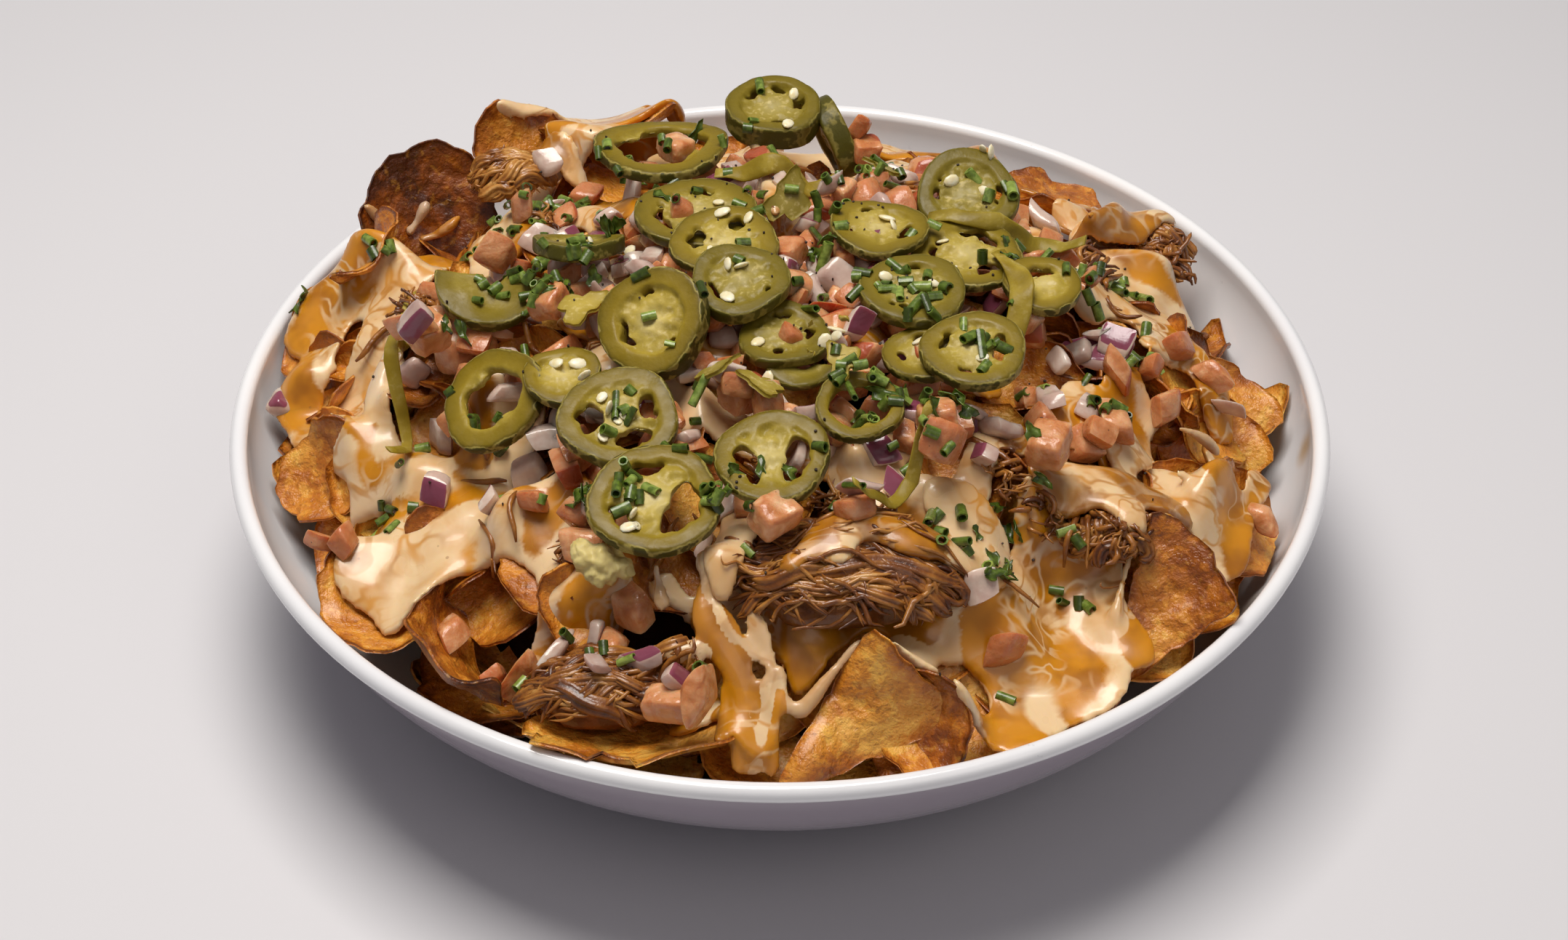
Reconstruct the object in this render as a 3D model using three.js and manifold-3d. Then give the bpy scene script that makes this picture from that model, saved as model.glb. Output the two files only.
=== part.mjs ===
// Loaded nachos: a heap of curled potato crisps in a round white bowl, with melted cheese sauces,
// shredded meat, diced tomato and sliced pickled peppers on top.
// Millimetres, +Z up, origin at the centre of the bowl's foot, -Y is the diner's side.
import * as THREE from "three";
import { mergeVertices } from "three/addons/utils/BufferGeometryUtils.js";
import Module from "manifold-3d";

const wasm = await Module();
wasm.setup();

// ---------- driving dimensions ----------
const RIM_RADIUS = 135; // widest point of the bowl, at the middle of its lip
const RIM_HEIGHT = 55.4; // height of the middle of the lip
const LIP_RADIUS = 2.2; // the lip is a round bead
const LIP_OVERHANG = 1.8; // how far the outer wall starts inside the middle of the lip
const LIP_TUCK = 0.6; // how far the inner wall starts under it
const FOOT_RADIUS = 67.5; // outside of the foot ring
const FOOT_WIDTH = 7;
const FOOT_HOLLOW = 1.6; // how far the base inside the foot ring is raised
const FLOOR_THICKNESS = 5;
const FLOOR_RADIUS = 60; // where the inner wall meets the floor
const OUTER_FULLNESS = 1.62; // exponents of the wall's curves: 1 is a cone, 2 an ellipse
const INNER_FULLNESS = 1.7;
const BOWL_SEGMENTS = 36;
const WALL_STEPS = 5;
const LIP_STEPS = 4;

const CLEARANCE = 0.35; // gap between two pieces that touch
const CROWN_RISE = 48.5; // from the heap's edge to its crown
const EDGE_DROP = 6; // the heap's edge lies this far under the middle of the lip
const CROWN_FULLNESS = 3; // exponent of the heap's dome
const LUMP_HEIGHT = 2.6; // unevenness of the heap's surface at its edge
const CROWN_LUMPS = 0.05; // and at its crown, as a share of that
const CREST = { x: 2, y: 66, rise: 6, radius: 20 }; // a mound at the back, under the highest slice
// outline of the heap, as a radius every 30 degrees from +X
const HEAP_EDGE = [114, 114, 113, 113, 117, 122, 119, 106, 118, 125, 123, 116];
const HEAP_RINGS = 8;

const CRISP_THICKNESS = 1.8;
const CRISP_CUP = 2; // rise of a crisp's long edges over its middle
const CRISP_SEGMENTS = 10;
const SLICE_SEGMENTS = 12; // points round the outline of a slice of pepper
const PEPPER_WALL = 0.26; // thickness of a pepper's flesh, as a share of its radius
const PEPPER_CORE = 0.3; // radius of the seed core, as a share of the pepper's
const CHAMBER_SPREAD = 0.72; // how much of its share of the turn a seed chamber takes up
const GRID_STEP = 1.5; // spacing of the height field that toppings are laid on

const DEGREE = Math.PI / 180;

// ---------- materials ----------
const finish = (color, roughness) => new THREE.MeshStandardMaterial({ color, roughness, metalness: 0 });
const MATERIALS = {
  bowl: finish(0xe4e4e8, 0.25),
  heap: finish(0xd9a05a, 0.4),
  crisp: finish(0xb8752a, 0.5),
  meat: finish(0x6e3d1c, 0.55),
  pepper: finish(0x87892c, 0.3),
  tomato: finish(0xcf7257, 0.3),
  onion: finish(0xc9a9b4, 0.3),
};

// ---------- solids ----------
/** A closed geometry as a manifold solid. */
function solidOf(geometry) {
  const bare = geometry.clone();
  bare.deleteAttribute("normal");
  bare.deleteAttribute("uv");
  const merged = mergeVertices(bare, 1e-4);
  return new wasm.Manifold(
    new wasm.Mesh({
      numProp: 3,
      vertProperties: merged.attributes.position.array,
      triVerts: new Uint32Array(merged.index.array),
    }),
  );
}

/** The largest body of a manifold solid, as a geometry. */
function geometryOf(solid) {
  const largest = solid.decompose().sort((a, b) => b.volume() - a.volume())[0];
  const mesh = largest.getMesh();
  const geometry = new THREE.BufferGeometry();
  geometry.setAttribute("position", new THREE.BufferAttribute(Float32Array.from(mesh.vertProperties), 3));
  geometry.setIndex(new THREE.BufferAttribute(Uint32Array.from(mesh.triVerts), 1));
  geometry.computeVertexNormals();
  return geometry;
}

/** A body of revolution about +Z from a closed or axis-to-axis profile of [radius, height] points. */
function lathe(profile) {
  const points = profile.map(([radius, height]) => new THREE.Vector2(radius, height));
  return new THREE.LatheGeometry(points, BOWL_SEGMENTS).rotateX(Math.PI / 2);
}

/** A quarter of a superellipse from (startRadius, top) down and in to (endRadius, bottom). */
function wallCurve(startRadius, top, endRadius, bottom, fullness) {
  const points = [];
  for (let i = 0; i <= WALL_STEPS; i++) {
    const t = (i / WALL_STEPS) * (Math.PI / 2);
    const across = i === WALL_STEPS ? 0 : Math.cos(t) ** (2 / fullness);
    const down = Math.sin(t) ** (2 / fullness);
    points.push([endRadius + (startRadius - endRadius) * across, top - (top - bottom) * down]);
  }
  return points;
}

const lipCentre = RIM_RADIUS - LIP_RADIUS;
const innerTop = RIM_HEIGHT - LIP_TUCK;
const innerStart = lipCentre - LIP_RADIUS;
const outerStart = lipCentre - LIP_OVERHANG;
const outerTop = RIM_HEIGHT - LIP_RADIUS;

/** The inner wall's profile, moved inwards and upwards by a gap. */
const innerWall = (gap) =>
  wallCurve(innerStart - gap, innerTop, FLOOR_RADIUS - gap, FLOOR_THICKNESS + gap, INNER_FULLNESS);

/** The bowl: a hollow base in its foot ring, the outer wall, the lip, the inner wall and the floor. */
function bowlGeometry() {
  const outer = wallCurve(outerStart, outerTop, FOOT_RADIUS, 0, OUTER_FULLNESS).reverse();
  const lip = [];
  for (let i = 0; i <= LIP_STEPS; i++) {
    const a = (-60 + (i * 240) / LIP_STEPS) * DEGREE;
    lip.push([lipCentre + LIP_RADIUS * Math.cos(a), RIM_HEIGHT + LIP_RADIUS * Math.sin(a)]);
  }
  const hollowRadius = FOOT_RADIUS - FOOT_WIDTH;
  const base = [
    [0, FOOT_HOLLOW],
    [hollowRadius - FOOT_HOLLOW, FOOT_HOLLOW],
    [hollowRadius, 0],
  ];
  return lathe([...base, ...outer, ...lip, ...innerWall(0), [0, FLOOR_THICKNESS]]);
}

/** The room that food may fill: the bowl's inside, and everything above its lip. */
function foodSpace() {
  const lipTop = RIM_HEIGHT + LIP_RADIUS + CLEARANCE;
  const ceiling = RIM_HEIGHT + 2 * CROWN_RISE;
  const profile = [[0, FLOOR_THICKNESS + CLEARANCE], ...innerWall(CLEARANCE).reverse()];
  profile.push([innerStart - CLEARANCE, lipTop], [RIM_RADIUS, lipTop], [RIM_RADIUS, ceiling], [0, ceiling]);
  return solidOf(lathe(profile));
}

// ---------- the heap ----------
/** The heap's radius in a direction, eased between the values of HEAP_EDGE. */
function heapEdge(angle) {
  const turns = ((angle / (2 * Math.PI)) % 1) + 1;
  const place = (turns % 1) * HEAP_EDGE.length;
  const before = Math.floor(place) % HEAP_EDGE.length;
  const after = (before + 1) % HEAP_EDGE.length;
  const ease = (1 - Math.cos((place - Math.floor(place)) * Math.PI)) / 2;
  return HEAP_EDGE[before] * (1 - ease) + HEAP_EDGE[after] * ease;
}

/** Height of the heap's surface: a flattened dome with uneven lumps, which grow towards its edge. */
function heapTop(x, y) {
  const share = Math.min(1, Math.hypot(x, y) / heapEdge(Math.atan2(y, x)));
  const dome = RIM_HEIGHT - EDGE_DROP + CROWN_RISE * (1 - share ** CROWN_FULLNESS);
  const small = Math.sin(x / 8.5 + 0.6) * Math.cos(y / 10.5);
  const large = Math.sin((x + y) / 14 + 2) * Math.cos((x - y) / 9);
  const crest = CREST.rise * Math.exp(-(((x - CREST.x) ** 2 + (y - CREST.y) ** 2) / CREST.radius ** 2));
  return dome + LUMP_HEIGHT * (CROWN_LUMPS + share ** 2) * (small + large) + crest;
}

/** The heap: its lumpy top, and a side that drops straight to the bowl's wall and follows it in. */
function heapGeometry() {
  const wall = innerWall(CLEARANCE).filter(([, height]) => height < RIM_HEIGHT - 3 * EDGE_DROP);
  const rows = HEAP_RINGS + wall.length;
  const positions = [];
  for (let row = 1; row <= rows; row++) {
    for (let i = 0; i < BOWL_SEGMENTS; i++) {
      const angle = (i / BOWL_SEGMENTS) * 2 * Math.PI;
      const edge = heapEdge(angle) * (1 + 0.018 * Math.sin(angle * 9) + 0.014 * Math.sin(angle * 14 + 1));
      const [wallRadius, wallHeight] = wall[row - HEAP_RINGS - 1] ?? [Infinity, 0];
      const radius = Math.min((edge * Math.min(row, HEAP_RINGS)) / HEAP_RINGS, wallRadius);
      const [x, y] = [radius * Math.cos(angle), radius * Math.sin(angle)];
      positions.push(x, y, row > HEAP_RINGS ? wallHeight : heapTop(x, y));
    }
  }
  const top = positions.length / 3;
  positions.push(0, 0, heapTop(0, 0), 0, 0, FLOOR_THICKNESS + CLEARANCE);
  const index = [];
  for (let i = 0; i < BOWL_SEGMENTS; i++) {
    const next = (i + 1) % BOWL_SEGMENTS;
    index.push(top, i, next);
    for (let row = 0; row < rows - 1; row++) {
      const [a, b] = [row * BOWL_SEGMENTS + i, row * BOWL_SEGMENTS + next];
      index.push(a, a + BOWL_SEGMENTS, b, b, a + BOWL_SEGMENTS, b + BOWL_SEGMENTS);
    }
    const last = (rows - 1) * BOWL_SEGMENTS;
    index.push(top + 1, last + next, last + i);
  }
  const geometry = new THREE.BufferGeometry();
  geometry.setAttribute("position", new THREE.Float32BufferAttribute(positions, 3));
  return geometry.setIndex(index);
}

// ---------- pieces of food, each about its own centre ----------
/** A potato crisp: a thin round slice rolled about its own Y axis and cupped along X. */
function crispGeometry({ length, width, curl }, grow = 0) {
  const rings = 2;
  const segments = CRISP_SEGMENTS;
  const positions = [];
  const index = [];
  for (const side of [1, -1]) {
    for (let ring = 0; ring <= rings; ring++) {
      for (let i = 0; i < (ring === 0 ? 1 : segments); i++) {
        const a = (i / segments) * 2 * Math.PI;
        const uneven = 1 + 0.07 * Math.sin(2 * a + length) + 0.05 * Math.sin(3 * a + width);
        const along = (ring / rings) * (length / 2 + grow) * uneven * Math.cos(a);
        const across = (ring / rings) * (width / 2 + grow) * uneven * Math.sin(a);
        const bend = along * curl;
        const offset = side * (CRISP_THICKNESS / 2 + grow);
        const rise = CRISP_CUP * ((2 * across) / width) ** 2;
        positions.push(
          Math.sin(bend) * (1 / curl - offset),
          across,
          (1 - Math.cos(bend)) / curl + offset * Math.cos(bend) + rise,
        );
      }
    }
  }
  const half = positions.length / 6;
  const at = (side, ring, i) => side * half + (ring === 0 ? 0 : 1 + (ring - 1) * segments + (i % segments));
  const face = (side, a, b, c) => (side ? index.push(a, c, b) : index.push(a, b, c));
  for (let i = 0; i < segments; i++) {
    for (const side of [0, 1]) {
      face(side, at(side, 0, 0), at(side, 1, i), at(side, 1, i + 1));
      face(side, at(side, 1, i), at(side, 2, i), at(side, 2, i + 1));
      face(side, at(side, 1, i), at(side, 2, i + 1), at(side, 1, i + 1));
    }
    index.push(at(0, rings, i), at(1, rings, i), at(1, rings, i + 1));
    index.push(at(0, rings, i), at(1, rings, i + 1), at(0, rings, i + 1));
  }
  const geometry = new THREE.BufferGeometry();
  geometry.setAttribute("position", new THREE.Float32BufferAttribute(positions, 3));
  return geometry.setIndex(index);
}

/** A closed loop of points at a radius that may change with the angle. */
function loop(count, radiusAt, from = 0, to = 2 * Math.PI, closed = true) {
  const points = [];
  for (let i = 0; i < count; i++) {
    const a = from + ((to - from) * i) / (closed ? count : count - 1);
    points.push(new THREE.Vector2(radiusAt(a) * Math.cos(a), radiusAt(a) * Math.sin(a)));
  }
  return points;
}

/** A slice of pepper: flesh, seed core and the ribs between its seed chambers, or part of a ring.
 * Without its chambers it is a disc, which makes its bed in the heap. */
function pepperGeometry({ radius, thickness, chambers = 3, span = 360 }, grow = 0, disc = false) {
  const outside = (a) => (radius + grow) * (1 + 0.035 * Math.sin(3 * a + radius));
  const inside = (a) => outside(a) * (1 - PEPPER_WALL) - 2 * grow;
  const core = () => radius * PEPPER_CORE + grow;
  const depth = thickness + 2 * grow;
  let shape = new THREE.Shape(loop(SLICE_SEGMENTS, outside));
  if (span < 360) {
    const half = (span / 2) * DEGREE;
    const outer = loop(SLICE_SEGMENTS - 3, outside, -half, half, false);
    const inner = loop(SLICE_SEGMENTS - 3, inside, -half, half, false).reverse();
    shape = new THREE.Shape([...outer, ...inner]);
  } else if (chambers === 0 && !disc) {
    shape.holes.push(new THREE.Path(loop(SLICE_SEGMENTS - 2, inside)));
  } else if (!disc) {
    for (let i = 0; i < chambers; i++) {
      const middle = (i / chambers) * 2 * Math.PI;
      const reach = (Math.PI / chambers) * CHAMBER_SPREAD - (3 * grow) / radius;
      const far = loop(3, inside, middle - reach, middle + reach, false);
      const near = loop(2, core, middle + reach / 2, middle - reach / 2, false);
      shape.holes.push(new THREE.Path([...far, ...near]));
    }
  }
  const settings = { depth, bevelEnabled: false, steps: 1 };
  return new THREE.ExtrudeGeometry(shape, settings).translate(0, 0, -depth / 2);
}

/** A cube of tomato with rounded edges. */
function diceGeometry({ size }, grow = 0) {
  const [a, b, c] = size.map((s) => s + 2 * grow);
  const geometry = new THREE.BoxGeometry(2, 2, 2, 2, 2, 2);
  const p = geometry.attributes.position;
  for (let i = 0; i < p.count; i++) {
    const v = new THREE.Vector3().fromBufferAttribute(p, i);
    const rounding = 1 - 0.06 * Math.max(0, v.lengthSq() - 1);
    p.setXYZ(i, (v.x * rounding * a) / 2, (v.y * rounding * b) / 2, (v.z * rounding * c) / 2);
  }
  return geometry;
}

/** A clump of shredded meat: a lumpy mound. */
function clumpGeometry({ size }, grow = 0) {
  const geometry = new THREE.IcosahedronGeometry(1, 1);
  const p = geometry.attributes.position;
  for (let i = 0; i < p.count; i++) {
    const v = new THREE.Vector3().fromBufferAttribute(p, i).normalize();
    const lumps = 1 + 0.12 * Math.sin(7 * v.x + size[0]) * Math.cos(6 * v.y + size[1]);
    const [a, b, c] = size.map((half) => half * lumps + grow);
    p.setXYZ(i, v.x * a, v.y * b, v.z * c);
  }
  return geometry;
}

/** Turns and places a piece: spun in its own plane, leaned, then leaning towards the facing direction. */
function placed(geometry, { x, y, z = 0, lean = 0, facing = 0, spin = 0 }) {
  return geometry
    .rotateZ(spin * DEGREE)
    .rotateY(lean * DEGREE)
    .rotateZ(facing * DEGREE)
    .translate(x, y, z);
}

// ---------- laying toppings on what is below ----------
/** The highest surface so far, on a square grid of cells. */
class HeightField {
  constructor() {
    this.cells = new Map();
  }

  height(column, row) {
    const known = this.cells.get(`${column},${row}`);
    return known === undefined ? heapTop(column * GRID_STEP, row * GRID_STEP) : known;
  }

  /** Lowest and highest point of a geometry over each cell that it covers. */
  static cover(geometry) {
    const flat = geometry.index ? geometry.toNonIndexed() : geometry;
    const p = flat.attributes.position;
    const found = new Map();
    const note = (column, row, z) => {
      const key = `${column},${row}`;
      const range = found.get(key) ?? [column, row, z, z];
      found.set(key, [column, row, Math.min(range[2], z), Math.max(range[3], z)]);
    };
    const [a, b, c] = [new THREE.Vector3(), new THREE.Vector3(), new THREE.Vector3()];
    for (let i = 0; i < p.count; i += 3) {
      [a, b, c].forEach((v, k) => {
        v.fromBufferAttribute(p, i + k);
        note(Math.round(v.x / GRID_STEP), Math.round(v.y / GRID_STEP), v.z);
      });
      const area = (b.x - a.x) * (c.y - a.y) - (b.y - a.y) * (c.x - a.x);
      if (Math.abs(area) < 1e-9) continue;
      const [minX, maxX] = [Math.min(a.x, b.x, c.x), Math.max(a.x, b.x, c.x)];
      const [minY, maxY] = [Math.min(a.y, b.y, c.y), Math.max(a.y, b.y, c.y)];
      for (let column = Math.ceil(minX / GRID_STEP); column * GRID_STEP <= maxX; column++) {
        for (let row = Math.ceil(minY / GRID_STEP); row * GRID_STEP <= maxY; row++) {
          const [x, y] = [column * GRID_STEP, row * GRID_STEP];
          const u = ((x - a.x) * (c.y - a.y) - (y - a.y) * (c.x - a.x)) / area;
          const v = ((b.x - a.x) * (y - a.y) - (b.y - a.y) * (x - a.x)) / area;
          if (u < 0 || v < 0 || u + v > 1) continue;
          note(column, row, a.z + u * (b.z - a.z) + v * (c.z - a.z));
        }
      }
    }
    return [...found.values()];
  }

  /** Raises the field to the top of a piece that is in place. */
  add(geometry) {
    for (const [column, row, , high] of HeightField.cover(geometry))
      this.cells.set(`${column},${row}`, Math.max(this.height(column, row), high));
  }

  /** Lowers or lifts a piece until it touches what is below, adds it and gives its height. */
  lay(geometry) {
    let lift = -Infinity;
    for (const [column, row, low] of HeightField.cover(geometry))
      lift = Math.max(lift, this.height(column, row) - low + CLEARANCE);
    geometry.translate(0, 0, lift);
    this.add(geometry);
    return lift;
  }
}

// ---------- where everything lies ----------
// Crisps that stand out of the heap, clockwise from the diner's right.
const CRISPS = {
  right_front: { x: 87, y: -76, z: 58, lean: 48, facing: 258, spin: 20, length: 46, width: 34, curl: 0.03 },
  front_right: { x: 31, y: -112, z: 53, lean: 56, facing: 236, spin: 10, length: 32, width: 26, curl: 0.05 },
  front_cone: { x: 15, y: -112, z: 58, lean: 56, facing: 262, spin: 60, length: 42, width: 30, curl: 0.055 },
  front_flat: { x: -31, y: -117, z: 50, lean: 22, facing: 96, spin: 88, length: 46, width: 26, curl: 0.02 },
  front_left: { x: -74, y: -92, z: 52, lean: 52, facing: 30, spin: 80, length: 48, width: 30, curl: 0.022 },
  left_low: { x: -93, y: -70, z: 50, lean: 12, facing: 290, spin: 20, length: 34, width: 25, curl: 0.04 },
  left: { x: -109, y: -25, z: 53, lean: 50, facing: 230, spin: 10, length: 28, width: 24, curl: 0.05 },
  left_sauced: { x: -107, y: 25, z: 60, lean: 32, facing: 215, spin: 30, length: 50, width: 38, curl: 0.025 },
  left_brown: { x: -89, y: 61, z: 66, lean: 62, facing: 286, spin: 70, length: 40, width: 32, curl: 0.035 },
  back_left: { x: -66, y: 80, z: 72, lean: 46, facing: 300, spin: 15, length: 38, width: 28, curl: 0.03 },
  back: { x: -45, y: 86, z: 77, lean: 30, facing: 110, spin: 80, length: 42, width: 32, curl: 0.03 },
  back_right: { x: 36, y: 96, z: 60, lean: 30, facing: 80, spin: 70, length: 44, width: 30, curl: 0.025 },
  right_back: { x: 72, y: 80, z: 58, lean: 26, facing: 50, spin: 40, length: 42, width: 30, curl: 0.03 },
  right: { x: 103, y: -4, z: 56, lean: 40, facing: 330, spin: 45, length: 40, width: 32, curl: 0.03 },
  right_low: { x: 106, y: -42, z: 53, lean: 55, facing: 330, spin: 0, length: 32, width: 28, curl: 0.04 },
};

// Clumps of shredded meat, half sunk in the heap.
const CLUMPS = {
  front: { x: 14, y: -88, z: 74, size: [26, 14, 10] },
  front_left: { x: -38, y: -106, z: 58, size: [17, 9, 8] },
  left: { x: -86, y: 2, z: 76, size: [9, 10, 7] },
  back_left: { x: -70, y: 62, z: 80, size: [11, 9, 7] },
  back_right: { x: 98, y: 56, z: 60, size: [10, 9, 8] },
  right: { x: 75, y: -67, z: 68, size: [13, 10, 8] },
};

// Cubes of tomato, laid from the back to the front.
const DICE = [
  { x: 22, y: 55, spin: 10, size: [12, 11, 10] },
  { x: -26, y: 48, spin: 30, size: [12, 10, 8] },
  { x: -54, y: -15, spin: 50, size: [11, 10, 9] },
  { x: -83, y: -17, spin: 20, size: [13, 12, 10] },
  { x: -8, y: -46, z: 94, spin: 15, size: [15, 10, 9] },
  { x: 35, y: -60, spin: 65, size: [11, 11, 11] },
  { x: 60, y: -60, spin: 25, size: [13, 11, 10] },
  { x: -1, y: -84, spin: 80, size: [13, 11, 10] },
  { x: 14, y: -86, z: 82, spin: 30, size: [11, 9, 9] },
  { x: -23, y: -117, spin: 10, size: [15, 9, 9] },
];

// Slices of pickled pepper, the lowest first. Facing 270 leans a slice towards the diner.
const PEPPERS = [
  { x: -35, y: -85, z: 77, lean: 22, facing: 262, radius: 8.5, thickness: 3, chambers: 3 },
  { x: -20, y: 16, z: 100.2, lean: 2, facing: 90, radius: 15, thickness: 2.6, chambers: 3 },
  { x: -13, y: -1, z: 103.6, lean: 3, facing: 270, radius: 13, thickness: 2.4, chambers: 3, spin: 25 },
  { x: 45, y: 3, z: 97.2, lean: 4, facing: 300, radius: 13.5, thickness: 2.4, chambers: 0 },
  { x: 23.6, y: 8, z: 101.5, lean: 5, facing: 40, radius: 12, thickness: 2.6, chambers: 3, spin: 50 },
  { x: 33, y: -35.4, z: 97, lean: 8, facing: 200, radius: 9.5, thickness: 2.4, chambers: 3 },
  { x: 5, y: -38, z: 97, lean: 8, facing: 270, radius: 9, thickness: 2.2, span: 150 },
  { x: -50, y: -36, z: 91, lean: 8, facing: 250, radius: 9, thickness: 2.4, chambers: 3, spin: 40 },
  { x: 17.6, y: -54, z: 96.2, lean: 10, facing: 280, radius: 10, thickness: 2.6, chambers: 0 },
  { x: 1, y: -32, z: 99.2, lean: 5, facing: 250, radius: 10.5, thickness: 2.8, chambers: 4, spin: 20 },
  { x: -48, y: 3.5, z: 99.5, lean: 28, facing: 90, radius: 11, thickness: 4, chambers: 3 },
  { x: -68, y: 0, z: 93, lean: 20, facing: 262, radius: 15, thickness: 3.4, span: 170 },
  { x: -66, y: -36, z: 84, lean: 34, facing: 222, radius: 13, thickness: 3.2, chambers: 0 },
  { x: -30, y: 50, z: 96.6, lean: 10, facing: 92, radius: 17, thickness: 3, chambers: 0 },
  { x: 14, y: 63, z: 91.5, lean: 72, facing: 20, radius: 11, thickness: 6, chambers: 3 },
  { x: 46, y: 26, z: 99, lean: 22, facing: 272, radius: 12.5, thickness: 4.2, chambers: 3, spin: 30 },
  { x: 31, y: -16.5, z: 101, lean: 3, facing: 270, radius: 12.5, thickness: 3.2, chambers: 3, spin: 10 },
  { x: 62, y: -8.5, z: 96.6, lean: 8, facing: 310, radius: 9.5, thickness: 3, chambers: 0 },
  { x: -9, y: -19.7, z: 105.6, lean: 9, facing: 265, radius: 11.5, thickness: 3.6, chambers: 3, spin: 60 },
  { x: 11.3, y: -39, z: 104.6, lean: 9, facing: 258, radius: 11, thickness: 3.2, chambers: 4, spin: 40 },
  { x: 44, y: -39.7, z: 101, lean: 7, facing: 250, radius: 12, thickness: 3, chambers: 3 },
  { x: -1.6, y: -70, z: 94.6, lean: 12, facing: 250, radius: 12.8, thickness: 3, chambers: 0 },
  { x: -36, y: -54.5, z: 93.4, lean: 15, facing: 272, radius: 13.6, thickness: 3.4, chambers: 3, spin: 30 },
  { x: -28.6, y: -30, z: 101.5, lean: 38, facing: 236, radius: 13, thickness: 6, chambers: 3, spin: 20 },
  { x: -27, y: -79.5, z: 90.5, lean: 13, facing: 268, radius: 14.6, thickness: 3.2, chambers: 3, spin: 55 },
  { x: -2, y: 61, z: 100.5, lean: 4, facing: 285, radius: 12.2, thickness: 6.5, chambers: 4, spin: 15 },
];

// A cube of onion that has rolled onto the bowl's wall.
const ONION = { x: -124, y: 4, z: 50.5, lean: 50, facing: 0, size: [9, 9, 6] };

// ---------- building ----------
const group = new THREE.Group();

/** Adds a solid to the group as a named mesh about its own centre. */
function addMesh(name, material, solid) {
  const geometry = geometryOf(solid);
  geometry.computeBoundingBox();
  const centre = geometry.boundingBox.getCenter(new THREE.Vector3());
  geometry.translate(-centre.x, -centre.y, -centre.z);
  const mesh = new THREE.Mesh(geometry, MATERIALS[material]);
  mesh.name = name;
  mesh.position.copy(centre);
  group.add(mesh);
}

const space = foodSpace();
const field = new HeightField();
const taken = []; // each piece in place, as a copy grown by the clearance and as its bed in the heap

/** Cuts off what lies in the grown copy, or in the bed, of an earlier piece. */
function clearOfTaken(solid, copy) {
  return taken.reduce((rest, piece) => {
    const common = rest.intersect(piece[copy]);
    return common.volume() > 1e-6 ? rest.subtract(piece[copy]) : rest;
  }, solid);
}

/** Builds one piece of food, clear of the earlier ones, and adds it. */
function addFood(name, material, make, spec) {
  const solid = clearOfTaken(solidOf(placed(make(spec), spec)).intersect(space), "grown");
  const grown = solidOf(placed(make(spec, CLEARANCE), spec));
  const bed = solidOf(placed(make(spec, CLEARANCE, true), spec));
  taken.push({ grown, bed });
  addMesh(name, material, solid);
}

/** Adds a piece whose height is given or, if not, is where it comes to rest. */
function layFood(name, material, make, spec) {
  const geometry = placed(make(spec), spec);
  if (spec.z === undefined) {
    addFood(name, material, make, { ...spec, z: field.lay(geometry) });
  } else {
    field.add(geometry);
    addFood(name, material, make, spec);
  }
}

const bowl = new THREE.Mesh(bowlGeometry(), MATERIALS.bowl);
bowl.name = "bowl";
group.add(bowl);

const number = (i) => String(i + 1).padStart(2, "0");

for (const [place, spec] of Object.entries(CRISPS)) layFood(`crisp_${place}`, "crisp", crispGeometry, spec);
for (const [place, spec] of Object.entries(CLUMPS)) layFood(`meat_${place}`, "meat", clumpGeometry, spec);
layFood("onion_on_wall", "onion", diceGeometry, ONION);
DICE.forEach((spec, i) => {
  const tipped = { ...spec, lean: 8 + 5 * (i % 3), facing: 97 * i };
  layFood(`tomato_${number(i)}`, "tomato", diceGeometry, tipped);
});
PEPPERS.forEach((spec, i) => layFood(`pepper_${number(i)}`, "pepper", pepperGeometry, spec));
addMesh("heap", "heap", clearOfTaken(solidOf(heapGeometry()), "bed"));

export default group;
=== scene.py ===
"""Loaded nachos: curled potato crisps heaped in a round white bowl, under two poured sauces,
shredded meat, diced tomato and onion, sliced pickled peppers and cut chives.

Sizes and places are in millimetres, +Z up, with the origin at the centre of the bowl's foot and
the diner on the -Y side. They become metres when a mesh is made.
"""

import logging
import math
from contextlib import contextmanager
from dataclasses import dataclass, field, replace
from enum import Enum
from typing import Iterator, Sequence

import bpy
import numpy as np
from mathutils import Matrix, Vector

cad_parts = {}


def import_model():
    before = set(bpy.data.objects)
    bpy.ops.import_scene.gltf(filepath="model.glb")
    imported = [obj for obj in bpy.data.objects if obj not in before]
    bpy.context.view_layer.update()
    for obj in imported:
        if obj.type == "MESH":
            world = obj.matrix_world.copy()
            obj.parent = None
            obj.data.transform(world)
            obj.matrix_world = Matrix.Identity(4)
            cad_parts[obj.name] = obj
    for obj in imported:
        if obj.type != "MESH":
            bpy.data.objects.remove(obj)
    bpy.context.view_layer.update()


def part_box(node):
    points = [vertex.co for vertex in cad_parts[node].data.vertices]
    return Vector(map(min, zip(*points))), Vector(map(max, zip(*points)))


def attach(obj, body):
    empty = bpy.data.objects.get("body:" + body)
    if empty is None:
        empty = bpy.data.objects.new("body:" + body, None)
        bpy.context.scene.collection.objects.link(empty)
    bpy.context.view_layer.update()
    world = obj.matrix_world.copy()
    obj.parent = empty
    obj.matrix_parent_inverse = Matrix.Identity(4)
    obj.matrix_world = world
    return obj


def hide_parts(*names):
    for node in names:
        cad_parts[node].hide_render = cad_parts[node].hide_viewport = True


LOG = logging.getLogger("nachos")
MM = 0.001
BODY = "root"
Floats = np.ndarray
Colour = tuple[float, float, float, float]
Numbers = tuple[float, ...]
Rows = tuple[Numbers, ...]
Chance = np.random.Generator
Piece = bpy.types.Object
Socket = bpy.types.NodeSocket


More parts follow.
